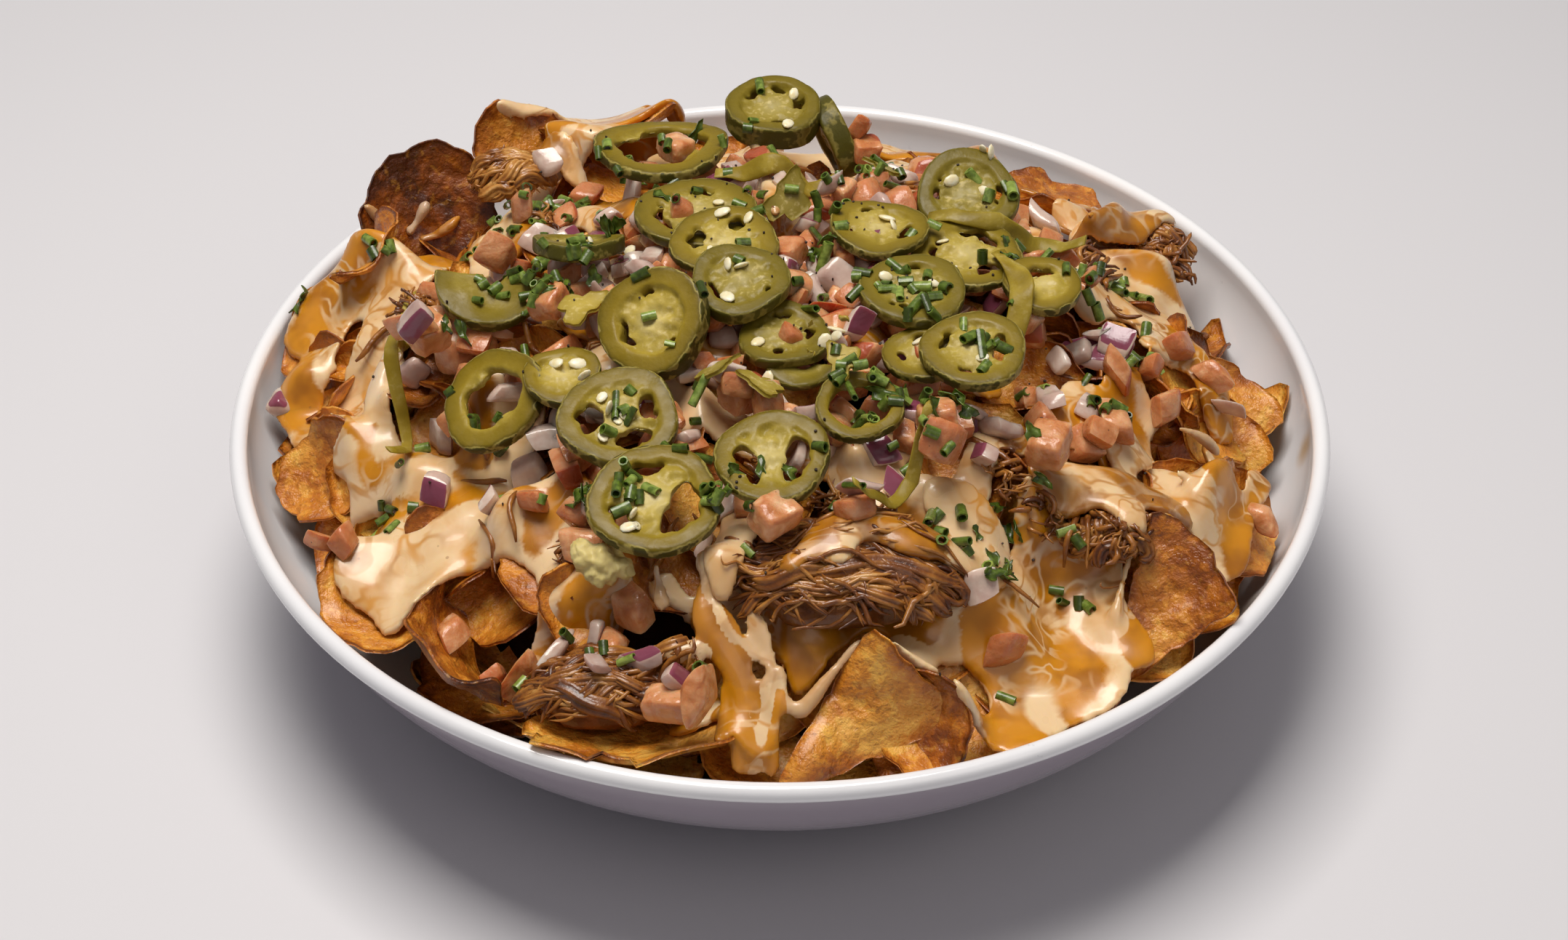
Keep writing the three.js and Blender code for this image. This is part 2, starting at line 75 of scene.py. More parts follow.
# ---------- numbers and noise ----------
def ink(code: str) -> Colour:
    """The linear colour of a hexadecimal sRGB code such as 'd0a060'."""
    parts = [int(code[i : i + 2], 16) / 255 for i in (0, 2, 4)]
    return (*(p / 12.92 if p <= 0.04045 else ((p + 0.055) / 1.055) ** 2.4 for p in parts), 1.0)


def columns(*parts: Floats | float) -> Floats:
    """Columns side by side, where a bare number fills its whole column."""
    count = max(len(part) for part in parts if np.ndim(part))
    return np.column_stack([part if np.ndim(part) else np.full(count, float(part)) for part in parts])


def lattice_value(cells: Floats, seed: int) -> Floats:
    """A repeatable number from 0 to 1 for each whole-number cell.

    Args:
        cells: Cell numbers, three to a row.
        seed: Picks one of many patterns.

    Returns:
        One value for each row.
    """
    mixed = cells[:, 0] * 374761393 + cells[:, 1] * 668265263 + cells[:, 2] * 1440662683 + seed * 974711
    mixed = mixed & 0xFFFFFFFF
    mixed = ((mixed ^ (mixed >> 13)) * 1274126177) & 0xFFFFFFFF
    mixed = mixed ^ (mixed >> 16)
    return (mixed & 0xFFFFFF) / float(0xFFFFFF)


def ripple(points: Floats, size: float, seed: int = 0) -> Floats:
    """Smooth noise with lumps of a given size.

    Args:
        points: Places to look up, three numbers to a row.
        size: Width of a lump, in the unit of the points.
        seed: Picks one of many patterns.

    Returns:
        A value from -1 to 1 for each point.
    """
    scaled = points / size + 53.7
    cell = np.floor(scaled).astype(np.int64)
    part = scaled - cell
    part = part * part * (3 - 2 * part)
    total = np.zeros(len(points))
    for corner in np.ndindex(2, 2, 2):
        weight = np.prod(np.where(np.array(corner) == 1, part, 1 - part), axis=1)
        total += weight * lattice_value(cell + np.array(corner), seed)
    return total * 2 - 1


def step_between(low: float, high: float, value: Floats) -> Floats:
    """Eases from 0 below low to 1 above high."""
    t = np.clip((value - low) / (high - low), 0, 1)
    return t * t * (3 - 2 * t)


def averaged(values: Floats, reach: int) -> Floats:
    """Values in a row, each averaged with its neighbours up to a reach on either side."""
    width = 2 * reach + 1
    return np.convolve(np.pad(values, reach, mode="edge"), np.ones(width) / width, "valid")


def tone(rng: Chance, middle: float, spread: float) -> float:
    """A chance value round a middle, kept from 0 to 1."""
    return float(np.clip(rng.normal(middle, spread), 0, 1))


def turned(degrees: float, axis: str) -> Floats:
    """The matrix that turns about axis 'x', 'y' or 'z' by an angle."""
    c, s = math.cos(math.radians(degrees)), math.sin(math.radians(degrees))
    rows = {
        "x": [[1, 0, 0], [0, c, -s], [0, s, c]],
        "y": [[c, 0, s], [0, 1, 0], [-s, 0, c]],
        "z": [[c, -s, 0], [s, c, 0], [0, 0, 1]],
    }
    return np.array(rows[axis])


@dataclass(frozen=True)
class Pose:
    """Where a piece lies: spun in its own plane, leaned, faced in a direction and moved."""

    x: float
    y: float
    z: float
    lean: float = 0.0
    facing: float = 0.0
    spin: float = 0.0

    def apply(self, points: Floats) -> Floats:
        """Puts points given about the piece's own centre in place."""
        matrix = turned(self.facing, "z") @ turned(self.lean, "y") @ turned(self.spin, "z")
        return points @ matrix.T + np.array([self.x, self.y, self.z])


# ---------- the bowl's and the heap's outlines ----------
@dataclass(frozen=True)
class BowlShape:
    """Sizes of the bowl, as in its CAD source."""

    rim_radius: float = 135.0
    rim_height: float = 55.4
    lip_radius: float = 2.2
    foot_radius: float = 67.5
    foot_width: float = 7.0
    foot_hollow: float = 1.6
    floor_radius: float = 60.0
    floor_height: float = 5.0
    wall_top: float = 54.8
    wall_reach: float = 70.6
    outer_fullness: float = 1.62
    inner_fullness: float = 1.7

    @property
    def lip_centre(self) -> float:
        """Radius of the middle of the lip."""
        return self.rim_radius - self.lip_radius

    def wall(self, outer: bool, steps: int) -> list[tuple[float, float]]:
        """A wall's profile, from the lip down.

        Args:
            outer: True for the outer wall, False for the inner one.
            steps: Number of stretches that the curve is cut into.

        Returns:
            Points of radius and height.
        """
        if outer:
            start, top = self.lip_centre - 1.8, self.rim_height - self.lip_radius
            end, bottom, power = self.foot_radius, 0.0, self.outer_fullness
        else:
            start, top = self.lip_centre - self.lip_radius, self.rim_height - 0.6
            end, bottom, power = self.floor_radius, self.floor_height, self.inner_fullness
        points = []
        for i in range(steps + 1):
            t = i / steps * math.pi / 2
            across = max(0.0, math.cos(t)) ** (2 / power)
            points.append((end + (start - end) * across, top - (top - bottom) * math.sin(t) ** (2 / power)))
        return points

    def inner_radius(self, height: Floats) -> Floats:
        """Radius of the inner wall at some heights."""
        top, bottom = self.rim_height - 0.6, self.floor_height
        start = self.lip_centre - self.lip_radius
        down = np.clip((top - height) / (top - bottom), 0, 1) ** (self.inner_fullness / 2)
        across = np.sqrt(np.clip(1 - down**2, 0, 1)) ** (2 / self.inner_fullness)
        return self.floor_radius + (start - self.floor_radius) * across

    def inner_height(self, radius: Floats) -> Floats:
        """Height of the inner wall and the floor at some radii."""
        share = np.clip((radius - self.floor_radius) / self.wall_reach, 0, 1) ** self.inner_fullness
        depth = np.clip(1 - share, 0, 1) ** (1 / self.inner_fullness)
        return self.wall_top - 49.8 * depth


@dataclass(frozen=True)
class HeapShape:
    """The heap's outline and its dome, as in its CAD source."""

    edge: tuple[float, ...] = (114, 114, 113, 113, 117, 122, 119, 106, 118, 125, 123, 116)
    edge_height: float = 49.4
    crown: float = 48.5
    # x, y, width and depth of each dark hollow
    hollows: Rows = (
        (-67, -82, 12, 26), (-27, -98, 11, 26), (-6, -104, 7, 16), (40, -104, 7, 10), (96, -28, 9, 10),
    )

    def radius(self, x: Floats, y: Floats) -> Floats:
        """The heap's radius in the direction of some places."""
        place = (np.arctan2(y, x) / (2 * math.pi)) % 1 * len(self.edge)
        before = np.floor(place).astype(int) % len(self.edge)
        ease = (1 - np.cos((place - np.floor(place)) * math.pi)) / 2
        radii = np.array(self.edge)
        return radii[before] * (1 - ease) + radii[(before + 1) % len(self.edge)] * ease

    def top(self, x: Floats, y: Floats) -> Floats:
        """Height of the heap's surface at some places."""
        share = np.minimum(1, np.hypot(x, y) / self.radius(x, y))
        lumps = np.sin(x / 8.5 + 0.6) * np.cos(y / 10.5) + np.sin((x + y) / 14 + 2) * np.cos((x - y) / 9)
        crest = 6 * np.exp(-((x - 2) ** 2 + (y - 66) ** 2) / 400)
        return self.edge_height + self.crown * (1 - share**3) + 2.6 * (0.05 + share**2) * lumps + crest

    def dent(self, x: Floats, y: Floats) -> Floats:
        """How far the dark hollows between the crisps lower the surface."""
        depth = np.zeros(np.shape(x))
        for at_x, at_y, width, drop in self.hollows:
            depth = np.maximum(depth, drop * np.exp(-(((x - at_x) ** 2 + (y - at_y) ** 2) / width**2) ** 2))
        return depth


BOWL = BowlShape()
HEAP = HeapShape()


# ---------- meshes ----------
@dataclass
class Form:
    """Points and faces of a mesh, with any values held at its points."""

    points: Floats
    faces: list[tuple[int, ...]]
    values: dict[str, Floats] = field(default_factory=dict)

    def moved(self, points: Floats, **values: Floats) -> "Form":
        """The same faces on other points."""
        return Form(points, self.faces, {**self.values, **values})

    def with_corners(self, corners: int) -> Floats:
        """The faces with this many corners, one to a row."""
        return np.array([f for f in self.faces if len(f) == corners], int).reshape(-1, corners)

    def samples(self, density: int = 3) -> Floats:
        """Points spread over every face, for finding what the form touches.

        Args:
            density: How many points a face gets along each side.

        Returns:
            The form's own points and those.
        """
        found = [self.points]
        for corners in (3, 4):
            p = self.points[self.with_corners(corners)]
            for i, j in np.ndindex(density, density):
                u, v = (i + 0.5) / density, (j + 0.5) / density
                if corners == 4:
                    edge_a = p[:, 0] * (1 - u) + p[:, 1] * u
                    edge_b = p[:, 3] * (1 - u) + p[:, 2] * u
                    found.append(edge_a * (1 - v) + edge_b * v)
                elif u + v < 1:
                    found.append(p[:, 0] * (1 - u - v) + p[:, 1] * u + p[:, 2] * v)
        return np.concatenate(found)

    def normals(self) -> Floats:
        """Unit normals at the points."""
        total = np.zeros_like(self.points)
        for corners in (3, 4):
            chosen = self.with_corners(corners)
            p = self.points[chosen]
            across = np.cross(p[:, 2] - p[:, 0], p[:, -1] - p[:, 1])
            for k in range(corners):
                np.add.at(total, chosen[:, k], across)
        return total / np.maximum(np.linalg.norm(total, axis=1, keepdims=True), 1e-9)


def pick(piece: Piece) -> None:
    """Makes one object the only selected one and the active one."""
    bpy.ops.object.select_all(action="DESELECT")
    piece.select_set(True)
    bpy.context.view_layer.objects.active = piece


def placed(name: str, data: bpy.types.ID) -> Piece:
    """Puts a new object with this name and data into the scene and picks it."""
    piece = bpy.data.objects.new(name, data)
    bpy.context.scene.collection.objects.link(piece)
    pick(piece)
    return piece


@contextmanager
def editing() -> Iterator[None]:
    """Edit mode with the whole active mesh selected, and object mode again afterwards."""
    bpy.ops.object.mode_set(mode="EDIT")
    bpy.ops.mesh.select_all(action="SELECT")
    yield
    bpy.ops.object.mode_set(mode="OBJECT")


def apply_modifier(piece: Piece, kind: str, **settings: object) -> None:
    """Adds a modifier to a piece and applies it."""
    pick(piece)
    modifier = piece.modifiers.new(kind.lower(), kind)
    for key, value in settings.items():
        setattr(modifier, key, value)
    bpy.ops.object.modifier_apply(modifier=modifier.name)


def melt(piece: Piece, voxel: float, passes: int, **settings: object) -> None:
    """Melts a piece's shells into one skin of small squares and smooths it.

    Args:
        piece: The piece.
        voxel: Width of a square, in the unit of the piece.
        passes: How often the skin is smoothed.
        settings: More settings of the remesh.
    """
    apply_modifier(piece, "REMESH", mode="VOXEL", voxel_size=voxel, **settings)
    apply_modifier(piece, "SMOOTH", factor=0.5, iterations=passes)


def read_points(piece: Piece, what: str = "co") -> Floats:
    """A mesh object's points, or another vector of its vertices, in Blender's own unit."""
    flat = np.zeros(len(piece.data.vertices) * 3)
    piece.data.vertices.foreach_get(what, flat)
    return flat.reshape(-1, 3)


def write_points(piece: Piece, points: Floats) -> None:
    """Moves a mesh object's points to these places, in millimetres."""
    piece.data.vertices.foreach_set("co", (points * MM).ravel())
    piece.data.update()


def write_values(piece: Piece, **values: Floats) -> None:
    """Stores named values at the points of a mesh object."""
    for name, at_points in values.items():
        layer = piece.data.attributes.get(name) or piece.data.attributes.new(name, "FLOAT", "POINT")
        layer.data.foreach_set("value", np.broadcast_to(at_points, len(piece.data.vertices)).astype(float))


def dress(piece: Piece, finish: "Finish", smooth: float | None = None, node: str = "") -> Piece:
    """Shades a piece, gives it its finish, fixes it to the body and reports it.

    Args:
        piece: The piece.
        finish: What it is made of.
        smooth: Angle in degrees over which edges stay sharp, or None for smooth all over.
        node: The CAD node that it replaces, if any.

    Returns:
        The piece.
    """
    pick(piece)
    if smooth is None:
        bpy.ops.object.shade_smooth()
    else:
        bpy.ops.object.shade_smooth_by_angle(angle=math.radians(smooth))
    piece.data.materials.clear()
    piece.data.materials.append(finish.material())
    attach(piece, BODY)
    if node:
        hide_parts(node)
    LOG.info("%s: %d faces", piece.name, len(piece.data.polygons))
    return piece


class Batch:
    """Gathers many placed forms and makes one piece of them."""

    def __init__(self, name: str) -> None:
        """Starts an empty batch whose piece will have this name."""
        self.name = name
        self.points: list[Floats] = []
        self.faces: list[tuple[int, ...]] = []
        self.values: dict[str, list[Floats]] = {}
        self.count = 0

    def add(self, form: Form, **values: float | Floats) -> None:
        """Adds a form, with one value or an array of values for each named attribute."""
        size = len(form.points)
        self.points.append(form.points)
        self.faces.extend(tuple(i + self.count for i in face) for face in form.faces)
        for key, value in {**form.values, **values}.items():
            self.values.setdefault(key, []).append(np.broadcast_to(value, size).astype(float))
        self.count += size

    def raw(self) -> Piece:
        """The gathered forms as one object without values or a finish."""
        mesh = bpy.data.meshes.new(self.name)
        mesh.from_pydata(np.concatenate(self.points) * MM, [], self.faces)
        return placed(self.name, mesh)

    def build(self, finish: "Finish", slot: str, smooth: float | None = None, node: str = "") -> Piece:
        """Makes the piece, with its finish, angle of sharp edges and CAD node as in dress; slot is not used.
        """
        piece = self.raw()
        write_values(piece, **{key: np.concatenate(parts) for key, parts in self.values.items()})
        return dress(piece, finish, smooth, node)


class Bench:
    """Models small parts once with the modelling operators, for copying many times."""

    @staticmethod
    def take(piece: Piece) -> Form:
        """Reads the form of a modelled object and clears the object away."""
        mesh = piece.data
        form = Form(read_points(piece), [tuple(p.vertices) for p in mesh.polygons])
        bpy.data.objects.remove(piece)
        bpy.data.meshes.remove(mesh)
        return form

    @staticmethod
    def disc(rings: int, segments: int) -> Form:
        """A flat disc of radius 1, drawn in ring by ring from its edge."""
        bpy.ops.object.select_all(action="DESELECT")
        bpy.ops.mesh.primitive_circle_add(vertices=segments, radius=1, fill_type="NOTHING")
        with editing():
            for ring in range(rings, 1, -1):
                share = (ring - 1) / ring
                bpy.ops.mesh.extrude_region()
                bpy.ops.transform.resize(value=(share, share, 1))
            bpy.ops.mesh.extrude_region()
            bpy.ops.mesh.merge(type="CENTER")
            bpy.ops.mesh.select_all(action="SELECT")
            bpy.ops.mesh.normals_make_consistent(inside=False)
        return Bench.take(bpy.context.object)

    @staticmethod
    def cube(cuts: int) -> Form:
        """A cube from -1 to 1, subdivided."""
        bpy.ops.object.select_all(action="DESELECT")
        bpy.ops.mesh.primitive_cube_add(size=2)
        with editing():
            bpy.ops.mesh.subdivide(number_cuts=cuts)
        return Bench.take(bpy.context.object)

    @staticmethod
    def tube(sides: int, wall: float) -> Form:
        """A hollow cut tube of radius 1 along Z, from -0.5 to 0.5."""
        bpy.ops.object.select_all(action="DESELECT")
        bpy.ops.mesh.primitive_cylinder_add(vertices=sides, radius=1, depth=1, end_fill_type="NOTHING")
        piece = bpy.context.object
        apply_modifier(piece, "SOLIDIFY", thickness=wall, offset=-1)
        return Bench.take(piece)

    @staticmethod
    def ball(segments: int, rings: int) -> Form:
        """A ball of radius 1."""
        bpy.ops.object.select_all(action="DESELECT")
        bpy.ops.mesh.primitive_uv_sphere_add(segments=segments, ring_count=rings, radius=1)
        return Bench.take(bpy.context.object)


# ---------- the surface that things are laid on ----------
class Relief:
    """The highest surface so far, as heights on a square grid."""

    STEP = 0.75
    REACH = 141.0

    def __init__(self) -> None:
        """Starts with nothing in the bowl but its wall and floor."""
        self.size = int(2 * self.REACH / self.STEP) + 1
        axis = np.arange(self.size) * self.STEP - self.REACH
        self.x, self.y = np.meshgrid(axis, axis, indexing="ij")
        self.plan = columns(self.x.ravel(), self.y.ravel(), 0)
        radius = np.hypot(self.x, self.y)
        self.bowl = np.where(radius < 131, BOWL.inner_height(radius), 0)
        self.heights = self.bowl.copy()

    def cells(self, points: Floats) -> tuple[Floats, Floats]:
        """The grid cell of each point."""
        place = np.clip(np.rint((points[:, :2] + self.REACH) / self.STEP), 0, self.size - 1).astype(int)
        return place[:, 0], place[:, 1]

    def under(self, points: Floats) -> Floats:
        """The surface's height at each point's place."""
        return self.heights[self.cells(points)]

    def add(self, points: Floats) -> None:
        """Raises the surface to these points."""
        np.maximum.at(self.heights, self.cells(points), points[:, 2])

    def lift_for(self, points: Floats, sink: float = 0.0, share: float = 100.0) -> float:
        """How far up a piece goes to rest here.

        Args:
            points: Points spread over the piece.
            sink: How far it settles in.
            share: Percentile of contact to rest on, 100 for the very first touch.

        Returns:
            The move along Z.
        """
        rows, places = self.cells(points)
        keys = rows * self.size + places
        order = np.argsort(keys)
        starts = np.concatenate([[0], np.flatnonzero(np.diff(keys[order])) + 1])
        lowest = np.minimum.reduceat(points[order, 2], starts)
        gaps = self.heights.ravel()[keys[order][starts]] - lowest
        return float(np.percentile(gaps, share)) - sink

    def slope(self, x: float, y: float, reach: float = 4.0) -> Floats:
        """The surface's upward normal around a place, taken over a reach to each side."""
        spots = np.array([[x - reach, y, 0], [x + reach, y, 0], [x, y - reach, 0], [x, y + reach, 0]])
        west, east, south, north = self.under(spots)
        normal = np.array([(west - east) / (2 * reach), (south - north) / (2 * reach), 1.0])
        return normal / np.linalg.norm(normal)


def shifts(grid: Floats, reach: int, axis: int) -> list[Floats]:
    """The grid moved by each step from -reach to reach along an axis, with its edge repeated."""
    padded = np.pad(grid, [(reach, reach) if a == axis else (0, 0) for a in (0, 1)], mode="edge")
    return [np.take(padded, range(k, k + grid.shape[axis]), axis=axis) for k in range(2 * reach + 1)]


def blurred(grid: Floats, radius: float) -> Floats:
    """A grid smoothed by a bell curve of this radius, in cells."""
    reach = int(math.ceil(2.5 * radius))
    weights = np.exp(-0.5 * (np.arange(-reach, reach + 1) / radius) ** 2)
    weights /= weights.sum()
    for axis in (0, 1):
        grid = sum(weight * moved for weight, moved in zip(weights, shifts(grid, reach, axis)))
    return grid


def widened(grid: Floats, radius: int, highest: bool = True) -> Floats:
    """The highest or the lowest value within a square round each cell."""
    choose = np.maximum if highest else np.minimum
    for axis in (0, 1):
        grid = choose.reduce(shifts(grid, radius, axis))
    return grid


# ---------- finishes ----------
class Shade:
    """Puts together the nodes of one material."""

    def __init__(self, name: str) -> None:
        """Starts a material with only a shader and an output."""
        self.made = bpy.data.materials.new(name)
        self.made.use_nodes = True
        self.tree = self.made.node_tree
        self.shader = self.tree.nodes["Principled BSDF"]
        self.place = self.put("ShaderNodeTexCoord").outputs["Object"]

    def put(self, kind: str, inputs: dict | None = None, **settings: object) -> bpy.types.Node:
        """Adds a node.

        Args:
            kind: Blender's name of the node type.
            inputs: Values or sockets for its inputs, by name or number.
            settings: Properties of the node.

        Returns:
            The node.
        """
        node = self.tree.nodes.new(kind)
        for key, value in settings.items():
            setattr(node, key, value)
        for key, value in (inputs or {}).items():
            self.feed(node, key, value)
        return node

    def feed(self, node: bpy.types.Node, key: str | int, value: object) -> None:
        """Sets an input of a node to a value, or links a socket to it."""
        if isinstance(value, Socket):
            self.tree.links.new(value, node.inputs[key])
        else:
            node.inputs[key].default_value = value

    def noise(self, size: float, detail: float = 3, warp: float = 0, rough: float = 0.5) -> Socket:
        """Noise whose lumps are this many millimetres wide."""
        inputs = {"Vector": self.place, "Scale": 1000 / size, "Detail": detail}
        inputs.update({"Roughness": rough, "Distortion": warp})
        return self.put("ShaderNodeTexNoise", inputs).outputs["Fac"]

    def specks(self, size: float, low: float, high: float) -> Socket:
        """1 at the middle of each cell of this many millimetres, falling to 0 between two distances."""
        cells = self.put("ShaderNodeTexVoronoi", {"Vector": self.place, "Scale": 1000 / size})
        return self.ease(cells.outputs["Distance"], low, high)

    def value(self, name: str) -> Socket:
        """A value held at the mesh's points."""
        return self.put("ShaderNodeAttribute", attribute_name=name).outputs["Fac"]

    def ease(self, source: object, low: float, high: float, start: float = 0, end: float = 1) -> Socket:
        """Maps a value from low..high to start..end, smoothly."""
        inputs = {"Value": source, "From Min": low, "From Max": high, "To Min": start, "To Max": end}
        return self.put("ShaderNodeMapRange", inputs, interpolation_type="SMOOTHSTEP").outputs["Result"]

    def cloud(
        self, size: float, detail: float, low: float, high: float,
        start: float = 0, end: float = 1, warp: float = 0,
    ) -> Socket:
        """Noise of this size and detail, mapped from low..high to start..end."""
        return self.ease(self.noise(size, detail, warp), low, high, start, end)

    def sum(self, a: object, b: object) -> Socket:
        """Two values added."""
        return self.put("ShaderNodeMath", {0: a, 1: b}, operation="ADD").outputs[0]

    def times(self, a: object, b: object) -> Socket:
        """Two values multiplied."""
        return self.put("ShaderNodeMath", {0: a, 1: b}, operation="MULTIPLY").outputs[0]

    def less(self, a: object, b: object) -> Socket:
        """The first value less the second."""
        return self.put("ShaderNodeMath", {0: a, 1: b}, operation="SUBTRACT").outputs[0]

    def mix(self, share: object, first: object, second: object) -> Socket:
        """A colour between two, each a socket or an sRGB code."""
        node = self.put("ShaderNodeMix", data_type="RGBA", blend_type="MIX")
        for key, part in ((0, share), (6, first), (7, second)):
            self.feed(node, key, ink(part) if isinstance(part, str) else part)
        return node.outputs[2]

    def ramp(self, source: object, stops: Sequence[tuple[float, str]]) -> Socket:
        """Colours along a value.

        Args:
            source: The value.
            stops: Pairs of place and sRGB code.

        Returns:
            The colour.
        """
        node = self.put("ShaderNodeValToRGB", {"Fac": source})
        elements = node.color_ramp.elements
        elements[0].position, elements[0].color = stops[0][0], ink(stops[0][1])
        elements[1].position, elements[1].color = stops[-1][0], ink(stops[-1][1])
        for place, code in stops[1:-1]:
            elements.new(place).color = ink(code)
        return node.outputs["Color"]

    def bump(self, *layers: tuple[object, float]) -> None:
        """Bumps from pairs of height source and depth in millimetres."""
        normal = None
        for source, depth in layers:
            inputs = {"Height": source, "Distance": depth * MM, "Strength": 1.0}
            if normal is not None:
                inputs["Normal"] = normal
            normal = self.put("ShaderNodeBump", inputs).outputs["Normal"]
        self.feed(self.shader, "Normal", normal)


@dataclass(frozen=True)
class Finish:
    """What a piece is made of: its coat, how far light passes in, and its nodes. Made once a kind."""

    # weight and roughness of the coat
    coat: Numbers = ()
    # weight, depths of the three colours and scale of the light that passes in
    glow: tuple[float | Numbers, ...] = ()
    specular: float = 0.5

    def material(self) -> bpy.types.Material:
        """The material, made when it is first asked for."""
        name = type(self).__name__
        return bpy.data.materials.get(name) or self.made(Shade(name))

    def made(self, shade: Shade) -> bpy.types.Material:
        """Sets the shader's own sockets and links its colour and roughness.

        Args:
            shade: The material's nodes.

        Returns:
            The material.
        """
        colour, rough = self.make(shade)
        sockets = {"Base Color": colour, "Roughness": rough, "Specular IOR Level": self.specular}
        sockets.update(zip(("Coat Weight", "Coat Roughness"), self.coat))
        sockets.update(zip(("Subsurface Weight", "Subsurface Radius", "Subsurface Scale"), self.glow))
        for key, value in sockets.items():
            shade.feed(shade.shader, key, value)
        return shade.made

    def make(self, shade: Shade) -> tuple[Socket | Colour, Socket | float]:
        """The colour and the roughness, after any bumps are put in."""
        raise NotImplementedError


@dataclass(frozen=True)
class Melamine(Finish):
    """White glazed tableware with light wear along its lip, smears of sauce inside and painted shade on its
    outer wall.
    """

    coat: Numbers = (0.25, 0.08)
    # place in metres, radius in metres and strength of each smear
    smears: tuple[tuple[tuple[float, float, float], float, float], ...] = (
        ((0.104, -0.062, 0.037), 0.020, 0.5), ((0.112, -0.03, 0.042), 0.012, 0.5),
        ((-0.1185, 0.03, 0.046), 0.007, 0.7), ((0.128, -0.012, 0.050), 0.006, 0.7),
    )

    def spot(self, shade: Shade, centre: tuple[float, float, float], radius: float) -> Socket:
        """1 at a place on the bowl, falling to 0 a radius away, with a ragged edge."""
        away = shade.put("ShaderNodeVectorMath", {0: shade.place, 1: centre}, operation="DISTANCE")
        ragged = shade.times(shade.noise(14, 4), radius * 0.9)
        return shade.ease(shade.sum(away.outputs["Value"], ragged), radius * 1.5, radius * 0.55)

    def make(self, shade: Shade) -> tuple[Socket, Socket]:
        """White with painted shade that darkens the outer wall, and the smears and the wear over it."""
        scuffs = shade.ease(shade.noise(5, 6, 0.4, 0.7), 0.66, 0.74)
        marks = shade.times(scuffs, shade.value("lip"))
        colour = shade.mix(shade.cloud(60, 2, 0.3, 0.7), "f4f4f5", "ececef")
        for centre, radius, strength in self.smears:
            colour = shade.mix(shade.times(self.spot(shade, centre, radius), strength), colour, "c9a15c")
        # painted shade: the outer wall is greyed to 9c929d for the shade it lies in, though the bowl is white
        colour = shade.mix(shade.value("outside"), colour, "9c929d")
        shade.bump((shade.noise(26, 2), 0.10), (scuffs, -0.015))
        return shade.mix(shade.times(marks, 0.55), colour, "8d8b92"), shade.ease(marks, 0, 1, 0.16, 0.42)


@dataclass(frozen=True)
class Sauce(Finish):
    """Warm cream sauce and melted cheese, run into each other in streaks."""

    coat: Numbers = (0.35, 0.1)
    glow: tuple[float | Numbers, ...] = (0.35, (0.007, 0.004, 0.0014), 0.35)

    def make(self, shade: Shade) -> tuple[Socket, Socket]:
        """Swirled lines of each sauce in the other, browned where thin or glazed, with painted shade where
        steep.
        """
        streak = shade.times(shade.less(shade.noise(7, 2, 1.2), 0.5), 0.5)
        share = shade.ease(shade.sum(shade.value("cheese"), streak), 0.32, 0.68)
        cream = shade.mix(shade.cloud(11, 3, 0.4, 0.7, warp=0.6), "eaca9c", "dcb078")
        # painted shade: steep faces of cream are greyed towards d6c2aa for the shade on hanging curtains of
        # sauce
        cream = shade.mix(shade.value("steep"), cream, "d6c2aa")
        cheese = shade.mix(shade.cloud(9, 2, 0.4, 0.7), "d08a12", "a8680a")
        bends = shade.less(shade.noise(15, 1.5, 1.8), 0.5)
        bends = shade.put("ShaderNodeMath", {0: bends}, operation="ABSOLUTE").outputs[0]
        lines = shade.times(shade.ease(bends, 0.06, 0.005, 0, 0.75), shade.cloud(26, 1, 0.44, 0.56))
        colour = shade.mix(lines, shade.mix(share, cream, cheese), shade.mix(share, cheese, cream))
        glaze = shade.times(shade.value("glaze"), shade.cloud(8, 3, 0.3, 0.7, 0.3, 0.95))
        colour = shade.mix(shade.times(glaze, share), colour, "8c5412")
        colour = shade.mix(shade.ease(shade.value("film"), 0.9, 0.2, 0, 0.35), colour, "a8703a")
        shade.bump((shade.noise(9, 1), 0.3), (shade.noise(2.2, 1), 0.03))
        colour = shade.mix(shade.times(shade.specks(11, 0.045, 0.03), 0.45), colour, "8a5a26")
        return colour, shade.cloud(12, 2, 0.3, 0.7, 0.26, 0.42)


@dataclass(frozen=True)
class Crisp(Finish):
    """Fried potato: golden, blistered and oily, browner at its edge and where it was fried longer."""

    coat: Numbers = (0.3, 0.2)
    glow: tuple[float | Numbers, ...] = (0.15, (0.004, 0.002, 0.0006), 0.4)

    def make(self, shade: Shade) -> tuple[Socket, Socket]:
        """Gold to dark brown by how long it was fried, with freckles and a paler crust."""
        roast = shade.sum(shade.value("roast"), shade.cloud(13, 4, 0.3, 0.75, -0.14, 0.36, warp=0.5))
        edge = shade.sum(shade.value("edge"), shade.cloud(6, 3, 0.3, 0.7, -0.1, 0.1))
        fried = shade.sum(roast, shade.ease(edge, 0.8, 1.1, 0, 0.26))
        fried = shade.less(fried, shade.times(shade.cloud(3.2, 2, 0.48, 0.64), 0.2))
        stops = ((0.0, "ecb24e"), (0.22, "da9030"), (0.45, "bb6d1b"), (0.68, "904a10"), (1.0, "50240c"))
        colour = shade.ramp(fried, stops)
        colour = shade.mix(shade.times(shade.cloud(1.3, 3, 0.56, 0.7), 0.4), colour, "7a4014")
        colour = shade.mix(shade.times(shade.cloud(2.6, 4, 0.56, 0.7, warp=0.4), 0.3), colour, "e8a83e")
        shade.bump((shade.noise(3.6, 4, 0.3), 1.3), (shade.noise(0.8, 3), 0.34))
        return colour, shade.cloud(4, 3, 0.3, 0.7, 0.24, 0.5)


